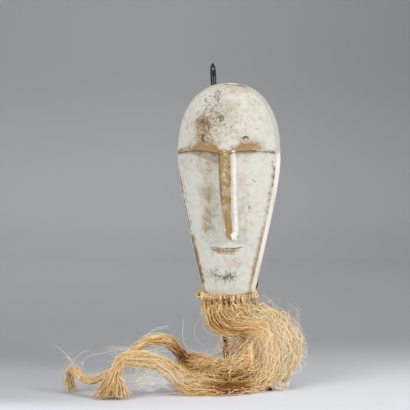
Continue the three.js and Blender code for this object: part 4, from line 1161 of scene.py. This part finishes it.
def sweep_painted_light():
    """Paper with painted light and shade: paler at the front of the floor and on its right, and greyer up the
    backdrop
    """
    material, tree, shader = new_material("sweep_painted_light")
    position = node(tree, "ShaderNodeNewGeometry").outputs["Position"]
    x, y, z = node(tree, "ShaderNodeSeparateXYZ", {"Vector": position}).outputs
    right = ranged(tree, x, -0.8, 0.4)
    far, beyond, foot, wall = (
        blended(tree, right, *pair) for pair in (FLOOR_FAR, FLOOR_BEYOND, BACKDROP_FOOT, BACKDROP)
    )
    near = blended(tree, ranged(tree, x, -0.32, 0.02), *FLOOR_NEAR)
    away = maths(tree, "SUBTRACT", y, ranged(tree, x, -0.35, 0.3, 0, 0.2))
    colour = layered(
        tree, FLOOR_FRONT,
        (y, -0.24, -0.145, 1, near),
        (away, -0.24, 0.42, 1, far),
        (y, 0.0, 2.4, 1, layered(tree, beyond, (y, 2.35, 2.7, 1, foot))),
        (z, 0.0, 0.7, 1, wall),
    )
    finish_shader(tree, shader, colour, 0.9, 0.2)
    return material


def make_sweep():
    """A pale floor that turns up into a grey backdrop, far enough back for a camera behind the object"""
    front, half_wide, top = -25.0, 20.0, 5.0
    turn_start, turn_radius, turn_steps = 2.4, 0.6, 24
    rows = [(front, 0.0), (turn_start, 0.0)]
    for i in range(1, turn_steps + 1):
        angle = math.radians(90 * i / turn_steps)
        rows.append((turn_start + turn_radius * math.sin(angle), turn_radius * (1 - math.cos(angle))))
    rows.append((turn_start + turn_radius, top))
    points = [(x, y, z) for y, z in rows for x in (-half_wide, half_wide)]
    faces = [(2 * i, 2 * i + 1, 2 * i + 3, 2 * i + 2) for i in range(len(rows) - 1)]
    mesh = bpy.data.meshes.new("sweep")
    mesh.from_pydata(points, [], faces)
    mesh.shade_smooth()
    mesh.materials.append(sweep_painted_light())
    sweep = bpy.data.objects.new("sweep", mesh)
    bpy.context.scene.collection.objects.link(sweep)


def make_lights():
    for name, (place, size, power, colour) in LIGHTS.items():
        light = bpy.data.lights.new(name, "AREA")
        light.shape = "DISK"
        light.size = size
        light.energy = power
        light.color = colour
        lamp = bpy.data.objects.new(name, light)
        lamp.location = place
        lamp.rotation_euler = (Vector(LIGHT_TARGET) - Vector(place)).to_track_quat("-Z", "Y").to_euler()
        lamp.visible_camera = False
        bpy.context.scene.collection.objects.link(lamp)
    world = bpy.data.worlds.new("studio")
    world.use_nodes = True
    background = world.node_tree.nodes["Background"]
    background.inputs["Color"].default_value = WORLD_COLOUR
    background.inputs["Strength"].default_value = WORLD_STRENGTH
    bpy.context.scene.world = world
    bpy.context.scene.view_settings.view_transform = "Standard"


def make_camera():
    data = bpy.data.cameras.new("photo_view")
    data.lens = CAMERA_LENS
    data.sensor_width = CAMERA_SENSOR
    camera = bpy.data.objects.new("photo_view", data)
    camera.location = CAMERA_PLACE
    camera.rotation_euler = (math.radians(90 + CAMERA_PITCH), 0, math.radians(CAMERA_HEADING))
    bpy.context.scene.collection.objects.link(camera)
    bpy.context.scene.camera = camera


make_camera()
make_sweep()
make_lights()
make_mask()
make_beard()
make_knots()
metal = black_metal()
for part_name in ("stand_foot", "stand_frame"):
    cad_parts[part_name].data.materials[0] = metal
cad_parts["heading_cord"].data.materials[0] = fibre("cord_fibre")
